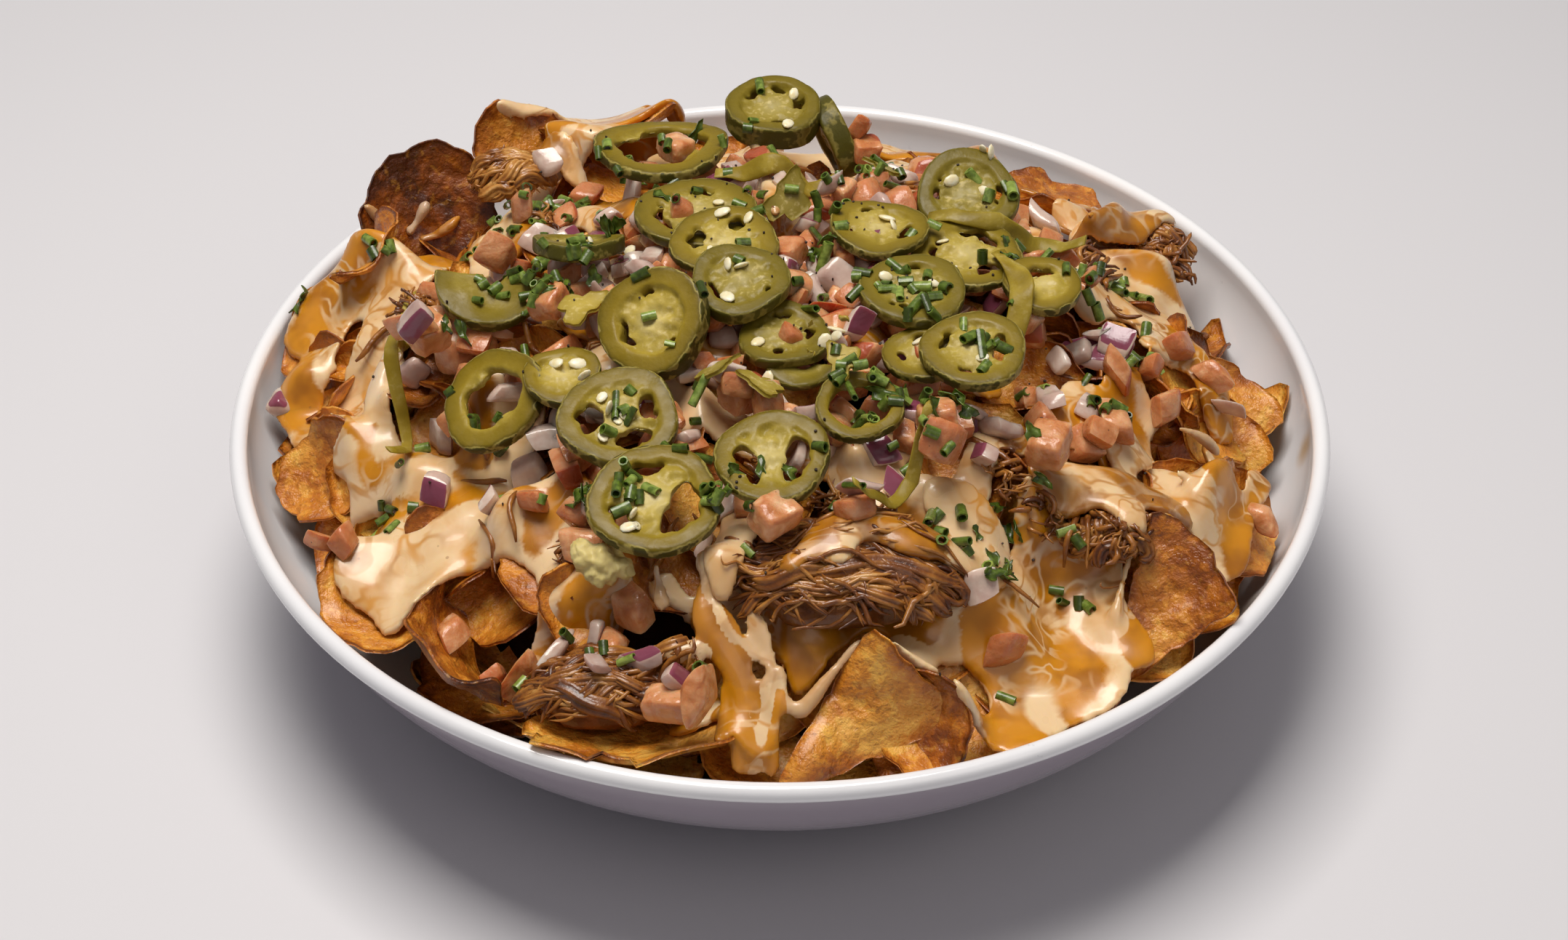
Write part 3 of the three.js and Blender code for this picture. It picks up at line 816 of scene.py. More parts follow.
@dataclass(frozen=True)
class Meat(Finish):
    """Slow-cooked shredded meat, brown and wet with sauce."""

    coat: Numbers = (0.25, 0.15)
    glow: tuple[float | Numbers, ...] = (0.1, (0.003, 0.001, 0.0005), 0.3)

    def make(self, shade: Shade) -> tuple[Socket, float]:
        """Browns that follow the fibres, darker in the rope grooves as painted shade."""
        fibre = shade.sum(shade.value("strand"), shade.cloud(5, 3, 0.3, 0.7, -0.2, 0.2))
        stops = ((0.0, "4a220a"), (0.3, "7a4416"), (0.6, "a06626"), (0.85, "c28a44"), (1.0, "d4a464"))
        shade.bump((shade.noise(1.2, 2), 0.22))
        return shade.ramp(fibre, stops), 0.36


@dataclass(frozen=True)
class Pepper(Finish):
    """Pickled green pepper: dark skin, olive flesh that light passes into, and a paler core."""

    coat: Numbers = (0.04, 0.15)
    glow: tuple[float | Numbers, ...] = (0.35, (0.005, 0.0045, 0.0014), 0.4)
    specular: float = 0.22

    def make(self, shade: Shade) -> tuple[Socket, Socket]:
        """Colours from the core out to the skin, with paler fibres in the flesh."""
        rind = shade.value("rind")
        stops = (
            (0.0, "d2c080"), (0.34, "baa44e"), (0.6, "a08a30"), (0.7, "8e7820"), (0.9, "7c6816"),
            (0.958, "665612"), (0.984, "a4944e"), (1.0, "464010"),
        )
        colour = shade.ramp(shade.sum(rind, shade.cloud(4, 3, 0.25, 0.75, -0.04, 0.04)), stops)
        colour = shade.mix(shade.ease(shade.value("tint"), 0, 1, 0, 0.5), colour, "5c5618")
        pale = shade.times(shade.cloud(1.4, 3, 0.5, 0.7), shade.ease(rind, 0.74, 0.4, 0, 0.55))
        shade.bump((shade.noise(3.4, 2), 0.16), (shade.noise(0.8, 2), 0.07))
        return shade.mix(pale, colour, "d2bf80"), shade.cloud(3, 2, 0.3, 0.7, 0.34, 0.52)


@dataclass(frozen=True)
class Tomato(Finish):
    """Cubes of ripe tomato with pale flesh, redder on the skin side."""

    coat: Numbers = (0.25, 0.12)
    glow: tuple[float | Numbers, ...] = (0.6, (0.007, 0.003, 0.0015), 0.5)

    def make(self, shade: Shade) -> tuple[Socket, Socket]:
        """Mottled flesh, riper in some cubes, with the skin side and dark specks over it."""
        stops = ((0.25, "ae6436"), (0.42, "c8824e"), (0.58, "d89c6c"), (0.76, "eac096"))
        flesh = shade.ramp(shade.noise(6, 4, 1.2), stops)
        colour = shade.mix(shade.ease(shade.value("tint"), 0.3, 1.0, 0, 0.65), flesh, "c07246")
        colour = shade.mix(shade.ease(shade.value("skin"), 0.6, 0.95), colour, "ac5430")
        shade.bump((shade.noise(2.6, 3), 0.5), (shade.noise(0.9, 2), 0.08))
        colour = shade.mix(shade.times(shade.specks(3.4, 0.06, 0.035), 0.75), colour, "2b1a12")
        return colour, shade.cloud(3, 2, 0.3, 0.7, 0.24, 0.44)


@dataclass(frozen=True)
class Onion(Finish):
    """Diced red onion: clear white flesh with a purple outer skin."""

    coat: Numbers = (0.3, 0.1)
    glow: tuple[float | Numbers, ...] = (0.6, (0.007, 0.005, 0.005), 0.5)

    def make(self, shade: Shade) -> tuple[Socket, float]:
        """White flesh, flushed in some cubes, with the purple skin on one side."""
        flesh = shade.ramp(shade.noise(5, 3), ((0.3, "c0a294"), (0.55, "d6c0b0"), (0.75, "ece0d4")))
        colour = shade.mix(shade.ease(shade.value("tint"), 0.3, 1.0, 0, 0.4), flesh, "a6807c")
        edge = shade.sum(shade.value("skin"), shade.cloud(4, 2, 0.3, 0.7, -0.12, 0.12))
        shade.bump((shade.noise(2.2, 2), 0.15))
        return shade.mix(shade.ease(edge, 0.6, 0.9), colour, "874558"), 0.2


@dataclass(frozen=True)
class Chive(Finish):
    """Cut chives, deep green outside and paler inside the tube."""

    coat: Numbers = (0.15, 0.2)
    glow: tuple[float | Numbers, ...] = (0.25, (0.001, 0.002, 0.0005), 0.5)

    def make(self, shade: Shade) -> tuple[Socket, float]:
        """Greens by each cut piece's own tint."""
        green = shade.sum(shade.value("tint"), shade.cloud(1.6, 2, 0.3, 0.7, -0.25, 0.25))
        shade.bump((shade.noise(0.7, 1), 0.06))
        return shade.ramp(green, ((0.0, "36440f"), (0.5, "5a6e22"), (1.0, "92a44c"))), 0.32


@dataclass(frozen=True)
class Seed(Finish):
    """Pale pepper seeds."""

    glow: tuple[float | Numbers, ...] = (0.3, (0.002, 0.0015, 0.001), 0.5)

    def make(self, shade: Shade) -> tuple[Socket, float]:
        """Two pale yellows."""
        shade.bump((shade.noise(0.8, 1), 0.05))
        return shade.ramp(shade.noise(2.2, 2), ((0.3, "e6d6a4"), (0.7, "f6efd6"))), 0.3


@dataclass(frozen=True)
class Peppercorn(Finish):
    """Coarsely ground black pepper."""

    def make(self, shade: Shade) -> tuple[Socket, float]:
        """Two dark browns."""
        return shade.ramp(shade.noise(0.8, 2), ((0.3, "17100c"), (0.8, "4a3526"))), 0.6


@dataclass(frozen=True)
class Depths(Finish):
    """The inside of the heap, painted dark brown as the shade deep between the crisps."""

    specular: float = 0.1

    def make(self, shade: Shade) -> tuple[Socket, float]:
        """Dark browns with coarse lumps, a painted shade."""
        shade.bump((shade.noise(4, 3), 0.8))
        # painted shade: near-black browns stand in for the shadowed depths between the crisps
        return shade.ramp(shade.noise(9, 4, 0.5), ((0.3, "160903"), (0.6, "2c1406"), (0.85, "4a250c"))), 0.9


@dataclass(frozen=True)
class Tabletop(Finish):
    """Plain pale floor."""

    def make(self, shade: Shade) -> tuple[Colour, float]:
        """One pale grey."""
        shade.bump((shade.noise(3, 2), 0.01))
        return ink("dcdbde"), 0.6


# ---------- shaping ----------
def upright(normal: Floats, spin: float) -> Floats:
    """The matrix that spins a piece by an angle in degrees and then stands its Z along a normal."""
    normal = np.asarray(normal, float) / np.linalg.norm(normal)
    side = np.cross([0.0, 1.0, 0.0] if abs(normal[1]) < 0.9 else [1.0, 0.0, 0.0], normal)
    side /= np.linalg.norm(side)
    return np.column_stack([side, np.cross(normal, side), normal]) @ turned(spin, "z")


def rounded(form: Form, power: float) -> Floats:
    """Points of a cube pushed onto a cube with rounded edges; a higher power is squarer."""
    size = (np.abs(form.points) ** power).sum(axis=1) ** (1 / power)
    return form.points / size[:, None]


def swept(path: Floats, radii: Floats, sides: int = 6, up: Floats | None = None, flat: float = 1.0) -> Form:
    """A closed tube along a path.

    Args:
        path: Points of the middle line.
        radii: The tube's radius at each point.
        sides: Number of corners round the tube.
        up: The way a flattened tube's thin side faces, at each point.
        flat: Thickness over width.

    Returns:
        The tube, with both ends closed.
    """
    count = len(path)
    along = np.gradient(path, axis=0)
    along /= np.maximum(np.linalg.norm(along, axis=1, keepdims=True), 1e-9)
    side = np.cross(along[0], [0.31, 0.17, 0.94])
    turn = np.arange(sides) / sides * 2 * math.pi
    rows = []
    for i in range(count):
        side = np.cross(along[i], up[i]) if up is not None else side - along[i] * (side @ along[i])
        side = side / max(np.linalg.norm(side), 1e-9)
        other = np.cross(along[i], side) * flat
        rows.append(path[i] + radii[i] * (np.outer(np.cos(turn), side) + np.outer(np.sin(turn), other)))
    points = np.concatenate(rows + [path[:1], path[-1:]])
    faces: list[tuple[int, ...]] = []
    for k in range(sides):
        n = (k + 1) % sides
        for i in range(count - 1):
            a, b = i * sides, (i + 1) * sides
            faces.append((a + k, a + n, b + n, b + k))
        faces.append((count * sides, n, k))
        faces.append((count * sides + 1, (count - 1) * sides + k, (count - 1) * sides + n))
    return Form(points, faces)


def rope(path: Floats, radii: Floats, ridges: int, twist: float) -> Form:
    """A tube ridged by fibres that wind along it.

    Args:
        path: Points of the middle line.
        radii: The tube's radius at each point.
        ridges: How many fibres lie round it.
        twist: How far they wind along it, as an angle.

    Returns:
        The tube, with the value strand darker in the grooves between fibres as painted shade.
    """
    sides = ridges * 4
    form = swept(path, radii, sides)
    turn = np.arange(sides) / sides * 2 * math.pi
    ridge = np.abs(np.sin(ridges / 2 * turn[None, :] + twist * np.linspace(0, 1, len(path))[:, None]))
    middle = path[:, None, :]
    body = form.points[: len(path) * sides].reshape(len(path), sides, 3)
    body = middle + (body - middle) * (0.66 + 0.34 * ridge)[:, :, None]
    # painted shade: strand is lowest in the grooves between the ridges and highest on them
    strand = np.concatenate([(0.12 + 0.36 * ridge).ravel(), [0.3, 0.3]])
    return Form(np.concatenate([body.reshape(-1, 3), form.points[-2:]]), form.faces, {"strand": strand})


def smooth_path(corners: Sequence[Sequence[float]], count: int) -> Floats:
    """A soft curve past some corners.

    Args:
        corners: The corners, of which only the ends are met.
        count: How many points are wanted.

    Returns:
        Points spread evenly along the curve.
    """
    knots = np.asarray(corners, float)
    for _ in range(3 if len(knots) > 2 else 0):
        cut = np.stack([knots[:-1] * 0.75 + knots[1:] * 0.25, knots[:-1] * 0.25 + knots[1:] * 0.75], axis=1)
        knots = np.concatenate([knots[:1], cut.reshape(-1, knots.shape[1]), knots[-1:]])
    length = np.concatenate([[0], np.cumsum(np.linalg.norm(np.diff(knots, axis=0), axis=1))])
    wanted = np.linspace(0, length[-1], count)
    return np.column_stack([np.interp(wanted, length, knots[:, k]) for k in range(knots.shape[1])])


def plate(top: Floats, bottom: Floats, disc: Form, rim: Sequence[int]) -> Form:
    """A closed plate between two shapes of one disc, whose edge has these points in order."""
    count = len(top)
    faces = list(disc.faces) + [tuple(i + count for i in reversed(f)) for f in disc.faces]
    faces += [(int(b), int(a), int(a) + count, int(b) + count) for a, b in zip(rim, np.roll(rim, -1))]
    return Form(np.concatenate([top, bottom]), faces)


def thickened(sheet: Form, thickness: float | Floats, out: Floats) -> Form:
    """A closed plate made from a disc.

    Args:
        sheet: The disc, already shaped.
        thickness: How thick it is at each point, or one value.
        out: Each point's share of the way from the middle to the edge, before shaping.

    Returns:
        The plate, with its share of the way to the edge as the value edge.
    """
    half = sheet.normals() * np.broadcast_to(thickness, len(out))[:, None] / 2
    form = plate(sheet.points + half, sheet.points - half, sheet, np.flatnonzero(out > 0.999))
    return form.moved(form.points, edge=np.concatenate([out, out]))


# ---------- the bowl ----------
@dataclass
class Bowl:
    """The round white bowl."""

    segments: int = 160
    wall_steps: int = 30
    lip_steps: int = 14

    def profile(self) -> list[tuple[float, float]]:
        """The bowl's section, from the axis under the base round to the axis on the floor."""
        s = BOWL
        inside_foot = s.foot_radius - s.foot_width
        points = [(0.0, s.foot_hollow), (inside_foot - 2.4, s.foot_hollow), (inside_foot - 1.0, 1.1)]
        points += [(inside_foot, 0.3), (inside_foot + 1.2, 0.0), (s.foot_radius - 1.2, 0.0)]
        points += [p for p in reversed(s.wall(True, self.wall_steps)) if p[1] > 0.4]
        for i in range(self.lip_steps + 1):
            turn = math.radians(-60 + 240 * i / self.lip_steps)
            across, rise = s.lip_radius * math.cos(turn), s.lip_radius * math.sin(turn)
            points.append((s.lip_centre + across, s.rim_height + rise))
        return points + s.wall(False, self.wall_steps)[1:] + [(0.0, s.floor_height)]

    def build(self) -> None:
        """Spins the section into the bowl."""
        section = [(r * MM, 0.0, z * MM) for r, z in self.profile()]
        mesh = bpy.data.meshes.new("bowl_glazed")
        mesh.from_pydata(section, [(i, i + 1) for i in range(len(section) - 1)], [])
        piece = placed("bowl_glazed", mesh)
        with editing():
            bpy.ops.mesh.spin(steps=self.segments, angle=2 * math.pi, center=(0, 0, 0), axis=(0, 0, 1))
            bpy.ops.mesh.select_all(action="SELECT")
            bpy.ops.mesh.remove_doubles(threshold=1e-6)
            bpy.ops.mesh.normals_make_consistent(inside=False)
        points = read_points(piece) / MM
        out, height = np.hypot(points[:, 0], points[:, 1]), points[:, 2]
        from_lip = np.hypot(out - BOWL.lip_centre, height - BOWL.rim_height)
        # outside marks the outer wall, which Melamine greys as painted shade
        outside = step_between(0.1, 0.4, out - BOWL.inner_radius(height)) * step_between(54.8, 52.4, height)
        write_values(piece, lip=step_between(9, 2.5, from_lip), outside=outside)
        dress(piece, Melamine(), 50, "bowl")


# ---------- crisps ----------
@dataclass(frozen=True)
class CrispShape:
    """A potato crisp: a thin slice rolled along its length, with ruffled edges and blisters.

    Corners are pairs of a direction in degrees and a radius. The knob is x, y, height and width.
    """

    length: float
    width: float
    curl: float
    roast: float = 0.3
    ruffle: float = 1.2
    waves: int = 3
    twist: float = 0.0
    thickness: float = 1.3
    seed: int = 0
    cone: float = 0.0
    corners: Rows = ()
    skew: float = 0.0
    knob: tuple[float, float, float, float] = (0.0, 0.0, 0.0, 1.0)

    def cornered(self, turn: Floats) -> Floats:
        """Outline of the soft polygon through the crisp's corners.

        Args:
            turn: Directions, as angles.

        Returns:
            Its radius in each.
        """
        spots = [[r * math.cos(math.radians(a)), r * math.sin(math.radians(a))] for a, r in self.corners]
        total = np.zeros(len(turn))
        for a, b in zip(np.array(spots), np.roll(spots, -1, axis=0)):
            out = np.array([b[1] - a[1], a[0] - b[0]])
            out /= np.linalg.norm(out)
            total += (np.maximum(0, np.cos(turn) * out[0] + np.sin(turn) * out[1]) / max(out @ a, 1.0)) ** 16
        return total ** (-1 / 16)

    def plan(self, turn: Floats, out: Floats) -> tuple[Floats, Floats]:
        """The flat slice before it is rolled.

        Args:
            turn: Direction of each point, as an angle.
            out: Its share of the way out to the edge.

        Returns:
            How far each point lies along the slice and across it.
        """
        uneven = 0.03 * np.sin(7 * turn + self.seed) + 0.02 * np.sin(12 * turn + 2 * self.seed)
        uneven += 1 + 0.014 * np.sin(19 * turn + 3 * self.seed)
        if self.corners:
            reach = self.cornered(turn) * uneven * out
            return reach * np.cos(turn), reach * np.sin(turn)
        uneven += 0.07 * np.sin(2 * turn + self.length) + 0.05 * np.sin(3 * turn + self.width)
        return out * self.length / 2 * uneven * np.cos(turn), out * self.width / 2 * uneven * np.sin(turn)

    def form(self, disc: Form) -> Form:
        """Rolls a flat disc into the crisp, about its own middle.

        Args:
            disc: A disc of radius 1.

        Returns:
            The crisp, with the values edge and roast.
        """
        x, y = disc.points[:, 0], disc.points[:, 1]
        turn, out = np.arctan2(y, x), np.hypot(x, y)
        along, across = self.plan(turn, out)
        curl = self.curl * (1 + self.cone * 2 * across / self.width)
        bend = along * curl
        rise = (1 - np.cos(bend)) / curl + 2 * (2 * across / self.width) ** 2
        rise += self.ruffle * out**3 * np.sin(self.waves * turn + self.seed)
        at_x, at_y, height, width = self.knob
        rise += height * np.exp(-((along - at_x) ** 2 + (across - at_y) ** 2) / width**2)
        middle = np.column_stack([np.sin(bend) / curl, across, rise])
        if self.skew:
            steps = np.linspace(-self.length, self.length, 401)
            angle = self.curl * (steps - self.skew * steps**2 / self.length)
            for axis, share in ((0, np.cos(angle)), (2, np.sin(angle))):
                total = np.cumsum(share) * (steps[1] - steps[0])
                extra = rise - (1 - np.cos(bend)) / curl if axis else 0.0
                middle[:, axis] = np.interp(along, steps, total - total[200]) + extra
        lean = np.radians(self.twist) * along
        c, s = np.cos(lean), np.sin(lean)
        middle[:, 1], middle[:, 2] = middle[:, 1] * c - middle[:, 2] * s, middle[:, 1] * s + middle[:, 2] * c
        flat = columns(along, across, self.seed * 7.1)
        blister = 1.3 * np.maximum(0, ripple(flat, 5.2, 3) - 0.05) + 0.35 * ripple(flat, 2.6, 4)
        middle = middle + disc.moved(middle).normals() * (blister * (1 - out**6))[:, None]
        form = thickened(disc.moved(middle), self.thickness * (1 - 0.45 * out**8), out)
        return form.moved(form.points, roast=np.full(len(form.points), self.roast))


# Crisps that stand out of the heap: shape and pose, as their CAD solids.
STANDING_CRISPS: dict[str, tuple[CrispShape, Pose]] = {
    "right_front": (
        CrispShape(
            32, 42, 0.035, 0.36, 0.7, 3, seed=1, corners=((6, 17.5), (76, 17.5), (106, 21), (246, 28)),
        ),
        Pose(87, -76, 58, 48, 258, 88),
    ),
    "front_right": (CrispShape(32, 26, 0.05, 0.5, 1.0, 4, seed=2), Pose(31, -112, 53, 56, 236, 10)),
    "front_cone": (
        CrispShape(
            32, 28, -0.06, 0.2, 0.5, 3, seed=3, corners=((28, 28), (112, 20), (262, 25)), skew=1.4,
            knob=(-2, -14, 6.5, 8),
        ),
        Pose(15, -112, 59, 56, 262, 60),
    ),
    "front_flat": (CrispShape(46, 26, 0.02, 0.16, 1.3, 5, seed=4), Pose(-31, -117, 52.2, 24, 96, 88)),
    "front_left": (CrispShape(48, 26, 0.035, 0.55, 1.8, 5, 0.5, seed=5), Pose(-74, -92, 52, 52, 30, 80)),
    "left_low": (CrispShape(34, 25, 0.04, 0.2, 1.0, 4, seed=6), Pose(-93, -70, 50, 12, 290, 20)),
    "left": (CrispShape(28, 24, 0.05, 0.22, 1.2, 4, seed=7), Pose(-109, -25, 53, 50, 230, 10)),
    "left_sauced": (CrispShape(48, 36, 0.03, 0.3, 2.6, 4, seed=8), Pose(-107, 25, 60, 32, 215, 30)),
    "left_brown": (CrispShape(42, 35, 0.035, 0.82, 1.0, 3, 0.3, seed=9), Pose(-92, 62, 68, 62, 286, 70)),
    "back_left": (CrispShape(38, 28, 0.03, 0.45, 1.2, 5, seed=10), Pose(-66, 80, 72, 46, 300, 15)),
    "back": (CrispShape(42, 32, 0.03, 0.3, 1.2, 4, seed=11), Pose(-45, 86, 77, 30, 110, 80)),
    "back_right": (CrispShape(44, 30, 0.025, 0.42, 1.4, 4, seed=12), Pose(36, 96, 60, 30, 80, 70)),
    "right_back": (CrispShape(42, 30, 0.03, 0.42, 1.2, 5, seed=13), Pose(72, 80, 58, 26, 50, 40)),
    "right": (CrispShape(40, 32, 0.03, 0.1, 2.0, 5, 0.6, seed=14), Pose(103, -4, 56, 40, 330, 45)),
    "right_low": (CrispShape(32, 28, 0.04, 0.15, 1.0, 4, seed=15), Pose(106, -42, 53, 55, 330)),
}
# Crisps that hold the sauce up: x, y, how far they stand out, lean, facing, spin, length and curl.
PROPS: Rows = (
    (78, 32, 8, 22, 40, 0, 44, 0.03), (92, 24, 9, 34, 10, 60, 38, 0.05), (88, 52, 8, 30, 60, 30, 38, 0.04),
    (84, -12, 6, 32, 345, 20, 36, 0.06), (-104, 2, 5, 40, 200, 60, 34, 0.07),
    (-90, 22, 5, 30, 160, 20, 36, 0.05), (-64, -66, 4, 26, 235, 80, 40, 0.05),
    (74, -56, 5, 26, 310, 10, 38, 0.05), (-80, -26, 3, 24, 220, 20, 30, 0.06),
    (-52, -70, 4, 20, 240, 60, 34, 0.04), (-83, -9, 5, 12, 190, 40, 28, 0.04),
    (-74, -14, 4, 16, 150, 0, 28, 0.05),
)
# Crisps that stick out of the sauce, in the same way.
SHARDS: Rows = (
    (-111, 8, 5, 48, 205, 80, 28, 0.09), (-108, -12, 2, 42, 225, 15, 24, 0.09),
    (-103, 36, 3, 44, 170, 60, 26, 0.06), (-76, -60, 3.5, 30, 240, 60, 26, 0.07),
    (-46, -84, 3, 40, 290, 20, 22, 0.08), (90, -40, 5, 52, 330, 60, 26, 0.07),
    (101, 14, 6, 55, 10, 30, 28, 0.08), (44, 86, 5, 40, 60, 0, 30, 0.05), (70, -62, 3, 35, 300, 45, 24, 0.08),
    (36, -80, 4, 50, 285, 70, 26, 0.06), (86, 30, 4, 40, 20, 90, 26, 0.06),
    (-60, 70, 5, 40, 130, 20, 28, 0.06),
)


@dataclass
class CrispHeap:
    """All the crisps: those that stand out, the loose ones round them and the dark core inside."""

    relief: Relief
    # how many, their least and greatest share of the heap's radius, and how deep they sit
    layers: Rows = ((34, 0.86, 1.0, 8.0), (34, 0.7, 0.93, 6.5), (30, 0.45, 0.8, 6.0), (30, 0.0, 0.62, 6.0))

    def fitted(self, points: Floats, reach: float) -> Floats:
        """Moves a crisp off the bowl's wall and down out of the toppings' way.

        Args:
            points: Points spread over the crisp.
            reach: How far it may stand over the heap's surface at the heap's edge.

        Returns:
            The move, as x, y and z.
        """
        share = np.hypot(points[:, 0], points[:, 1]) / HEAP.radius(points[:, 0], points[:, 1])
        allowed = HEAP.top(points[:, 0], points[:, 1]) - HEAP.dent(points[:, 0], points[:, 1])
        allowed += np.where(share > 1, reach, -3.5 + (reach + 3.5) * np.clip(share, 0, 1) ** 4)
        down = max(0.0, float((points[:, 2] - allowed).max()))
        low = points[points[:, 2] - down < BOWL.rim_height]
        inward = 0.0
        if len(low):
            gap = np.hypot(low[:, 0], low[:, 1]) - BOWL.inner_radius(low[:, 2] - down) + 1.2
            inward = max(0.0, float(gap.max()))
        middle = points[:, :2].mean(axis=0)
        move = -middle / max(np.linalg.norm(middle), 1e-6) * inward
        return np.array([move[0], move[1], -down])

    def settle(self, batch: Batch, form: Form, density: int) -> None:
        """Bends a crisp in where it would stick through the bowl, and keeps it.

        Args:
            batch: Where it goes.
            form: The crisp in place.
            density: How finely it raises the surface.
        """
        count = len(form.points) // 2
        middle = (form.points[:count] + form.points[count:]) / 2
        half = (form.points[:count] - form.points[count:]) / 2
        out = np.hypot(middle[:, 0], middle[:, 1])
        most = np.where(middle[:, 2] < BOWL.rim_height + 2.5, BOWL.inner_radius(middle[:, 2]) - 1.7, 1e9)
        middle[:, :2] *= np.minimum(1, most / np.maximum(out, 1e-6))[:, None]
        middle[:, 2] = np.maximum(middle[:, 2], BOWL.floor_height + 1.5)
        form = form.moved(np.concatenate([middle + half, middle - half]))
        self.relief.add(form.samples(density))
        batch.add(form)

    def core(self) -> None:
        """The inside of the heap, seen only between the crisps and painted dark as shade."""
        segments = 72
        disc = Bench.disc(26, segments)
        reach = HEAP.radius(disc.points[:, 0], disc.points[:, 1]) * 0.84
        x, y = disc.points[:, 0] * reach, disc.points[:, 1] * reach
        flat = columns(x, y, 0)
        top = HEAP.top(x, y) - HEAP.dent(x, y) * 1.1 - 23
        top = top - 2.5 * ripple(flat, 12, 5) - 1.2 * ripple(flat, 5, 6)
        wall = BOWL.inner_height(np.hypot(x, y))
        top = np.maximum(top, wall + 2)
        form = plate(columns(x, y, top), columns(x, y, wall + 0.4), disc, range(segments))
        batch = Batch("heap_core")
        batch.add(form)
        self.relief.add(form.samples(5))
        batch.build(Depths(), "heap", node="heap")

    def loose(self) -> None:
        """The loose crisps, laid over the core in rings."""
        rng = np.random.default_rng(41)
        disc = Bench.disc(10, 34)
        for level, (count, least, most, depth) in enumerate(self.layers):
            batch = Batch(f"crisps_layer_{level + 1}")
            for i in range(count):
                turn = (i + rng.uniform(-0.35, 0.35)) / count * 2 * math.pi + level * 0.4
                share = math.sqrt(rng.uniform(least**2, most**2))
                way = np.array([[math.cos(turn)], [math.sin(turn)]])
                reach = float(HEAP.radius(*way)[0]) * share
                x, y = way[:, 0] * reach
                z = float(HEAP.top(np.array([x]), np.array([y]))[0]) - depth
                lean = rng.uniform(10, 70) * (0.35 + 0.65 * share)
                facing = math.degrees(math.atan2(y, x)) + rng.uniform(-75, 75)
                pose = Pose(x, y, z, lean, facing, rng.uniform(0, 360))
                shape = CrispShape(
                    length=rng.uniform(34, 50),
                    width=rng.uniform(26, 36),
                    curl=rng.uniform(0.02, 0.06),
                    roast=float(np.clip(rng.normal(0.3, 0.16), 0.02, 0.85)),
                    ruffle=rng.uniform(0.8, 2.6),
                    waves=int(rng.integers(3, 7)),
                    twist=rng.uniform(-0.8, 0.8),
                    seed=100 + level * 50 + i,
                )
                form = shape.form(disc)
                form = form.moved(pose.apply(form.points))
                for _ in range(2):
                    form = form.moved(form.points + self.fitted(form.samples(2), 4.0))
                self.settle(batch, form, 4)
            batch.build(Crisp(), "crisp")

    def standing(self) -> None:
        """The crisps that stand out of the heap, one piece each."""
        disc = Bench.disc(16, 60)
        for place, (shape, pose) in STANDING_CRISPS.items():
            batch = Batch(f"fried_{place}")
            form = shape.form(disc)
            self.settle(batch, form.moved(pose.apply(form.points)), 4)
            batch.build(Crisp(), "crisp", node=f"crisp_{place}")

    def shards(self, name: str, rows: Rows) -> None:
        """Curled crisps pushed in here and there, each so that it stands out by a given height.

        Args:
            name: The piece's name.
            rows: Place, height, pose, length and curl of each.
        """
        disc = Bench.disc(10, 34)
        batch = Batch(name)
        for number, (x, y, rise, lean, facing, spin, length, curl) in enumerate(rows):
            roast = 0.25 + 0.05 * (number % 4)
            shape = CrispShape(length, length * 0.7, curl, roast, 1.4, 4, seed=300 + number)
            form = shape.form(disc)
            points = Pose(x, y, 0, lean, facing, spin).apply(form.points)
            spot = np.array([[x, y, 0.0]])
            ground = HEAP.top(spot[:, 0], spot[:, 1]) - HEAP.dent(spot[:, 0], spot[:, 1]) - 8
            points[:, 2] += float(np.maximum(self.relief.under(spot), ground)[0]) + rise - points[:, 2].max()
            self.settle(batch, form.moved(points), 3)
        batch.build(Crisp(), "crisp")

    def build(self) -> None:
        """Makes the core and all the crisps."""
        self.core()
        self.standing()
        self.loose()
        self.shards("crisps_under_sauce", PROPS)


# ---------- sauce ----------
class Pour(Enum):
    """The two sauces."""

    CREAM = 0
    CHEESE = 1


@dataclass(frozen=True)
class Stroke:
    """One pass of the ladle: which sauce, how wide and thick it falls, and over which places."""

    pour: Pour
    width: float
    depth: float
    path: Rows


@dataclass(frozen=True)
class Strand:
    """A rope of sauce that hangs or runs down: where it goes, and how thick and how flat it is."""

    pour: Pour
    radius: float
    path: Rows
    flat: float = 0.75


CREAM, CHEESE = Pour
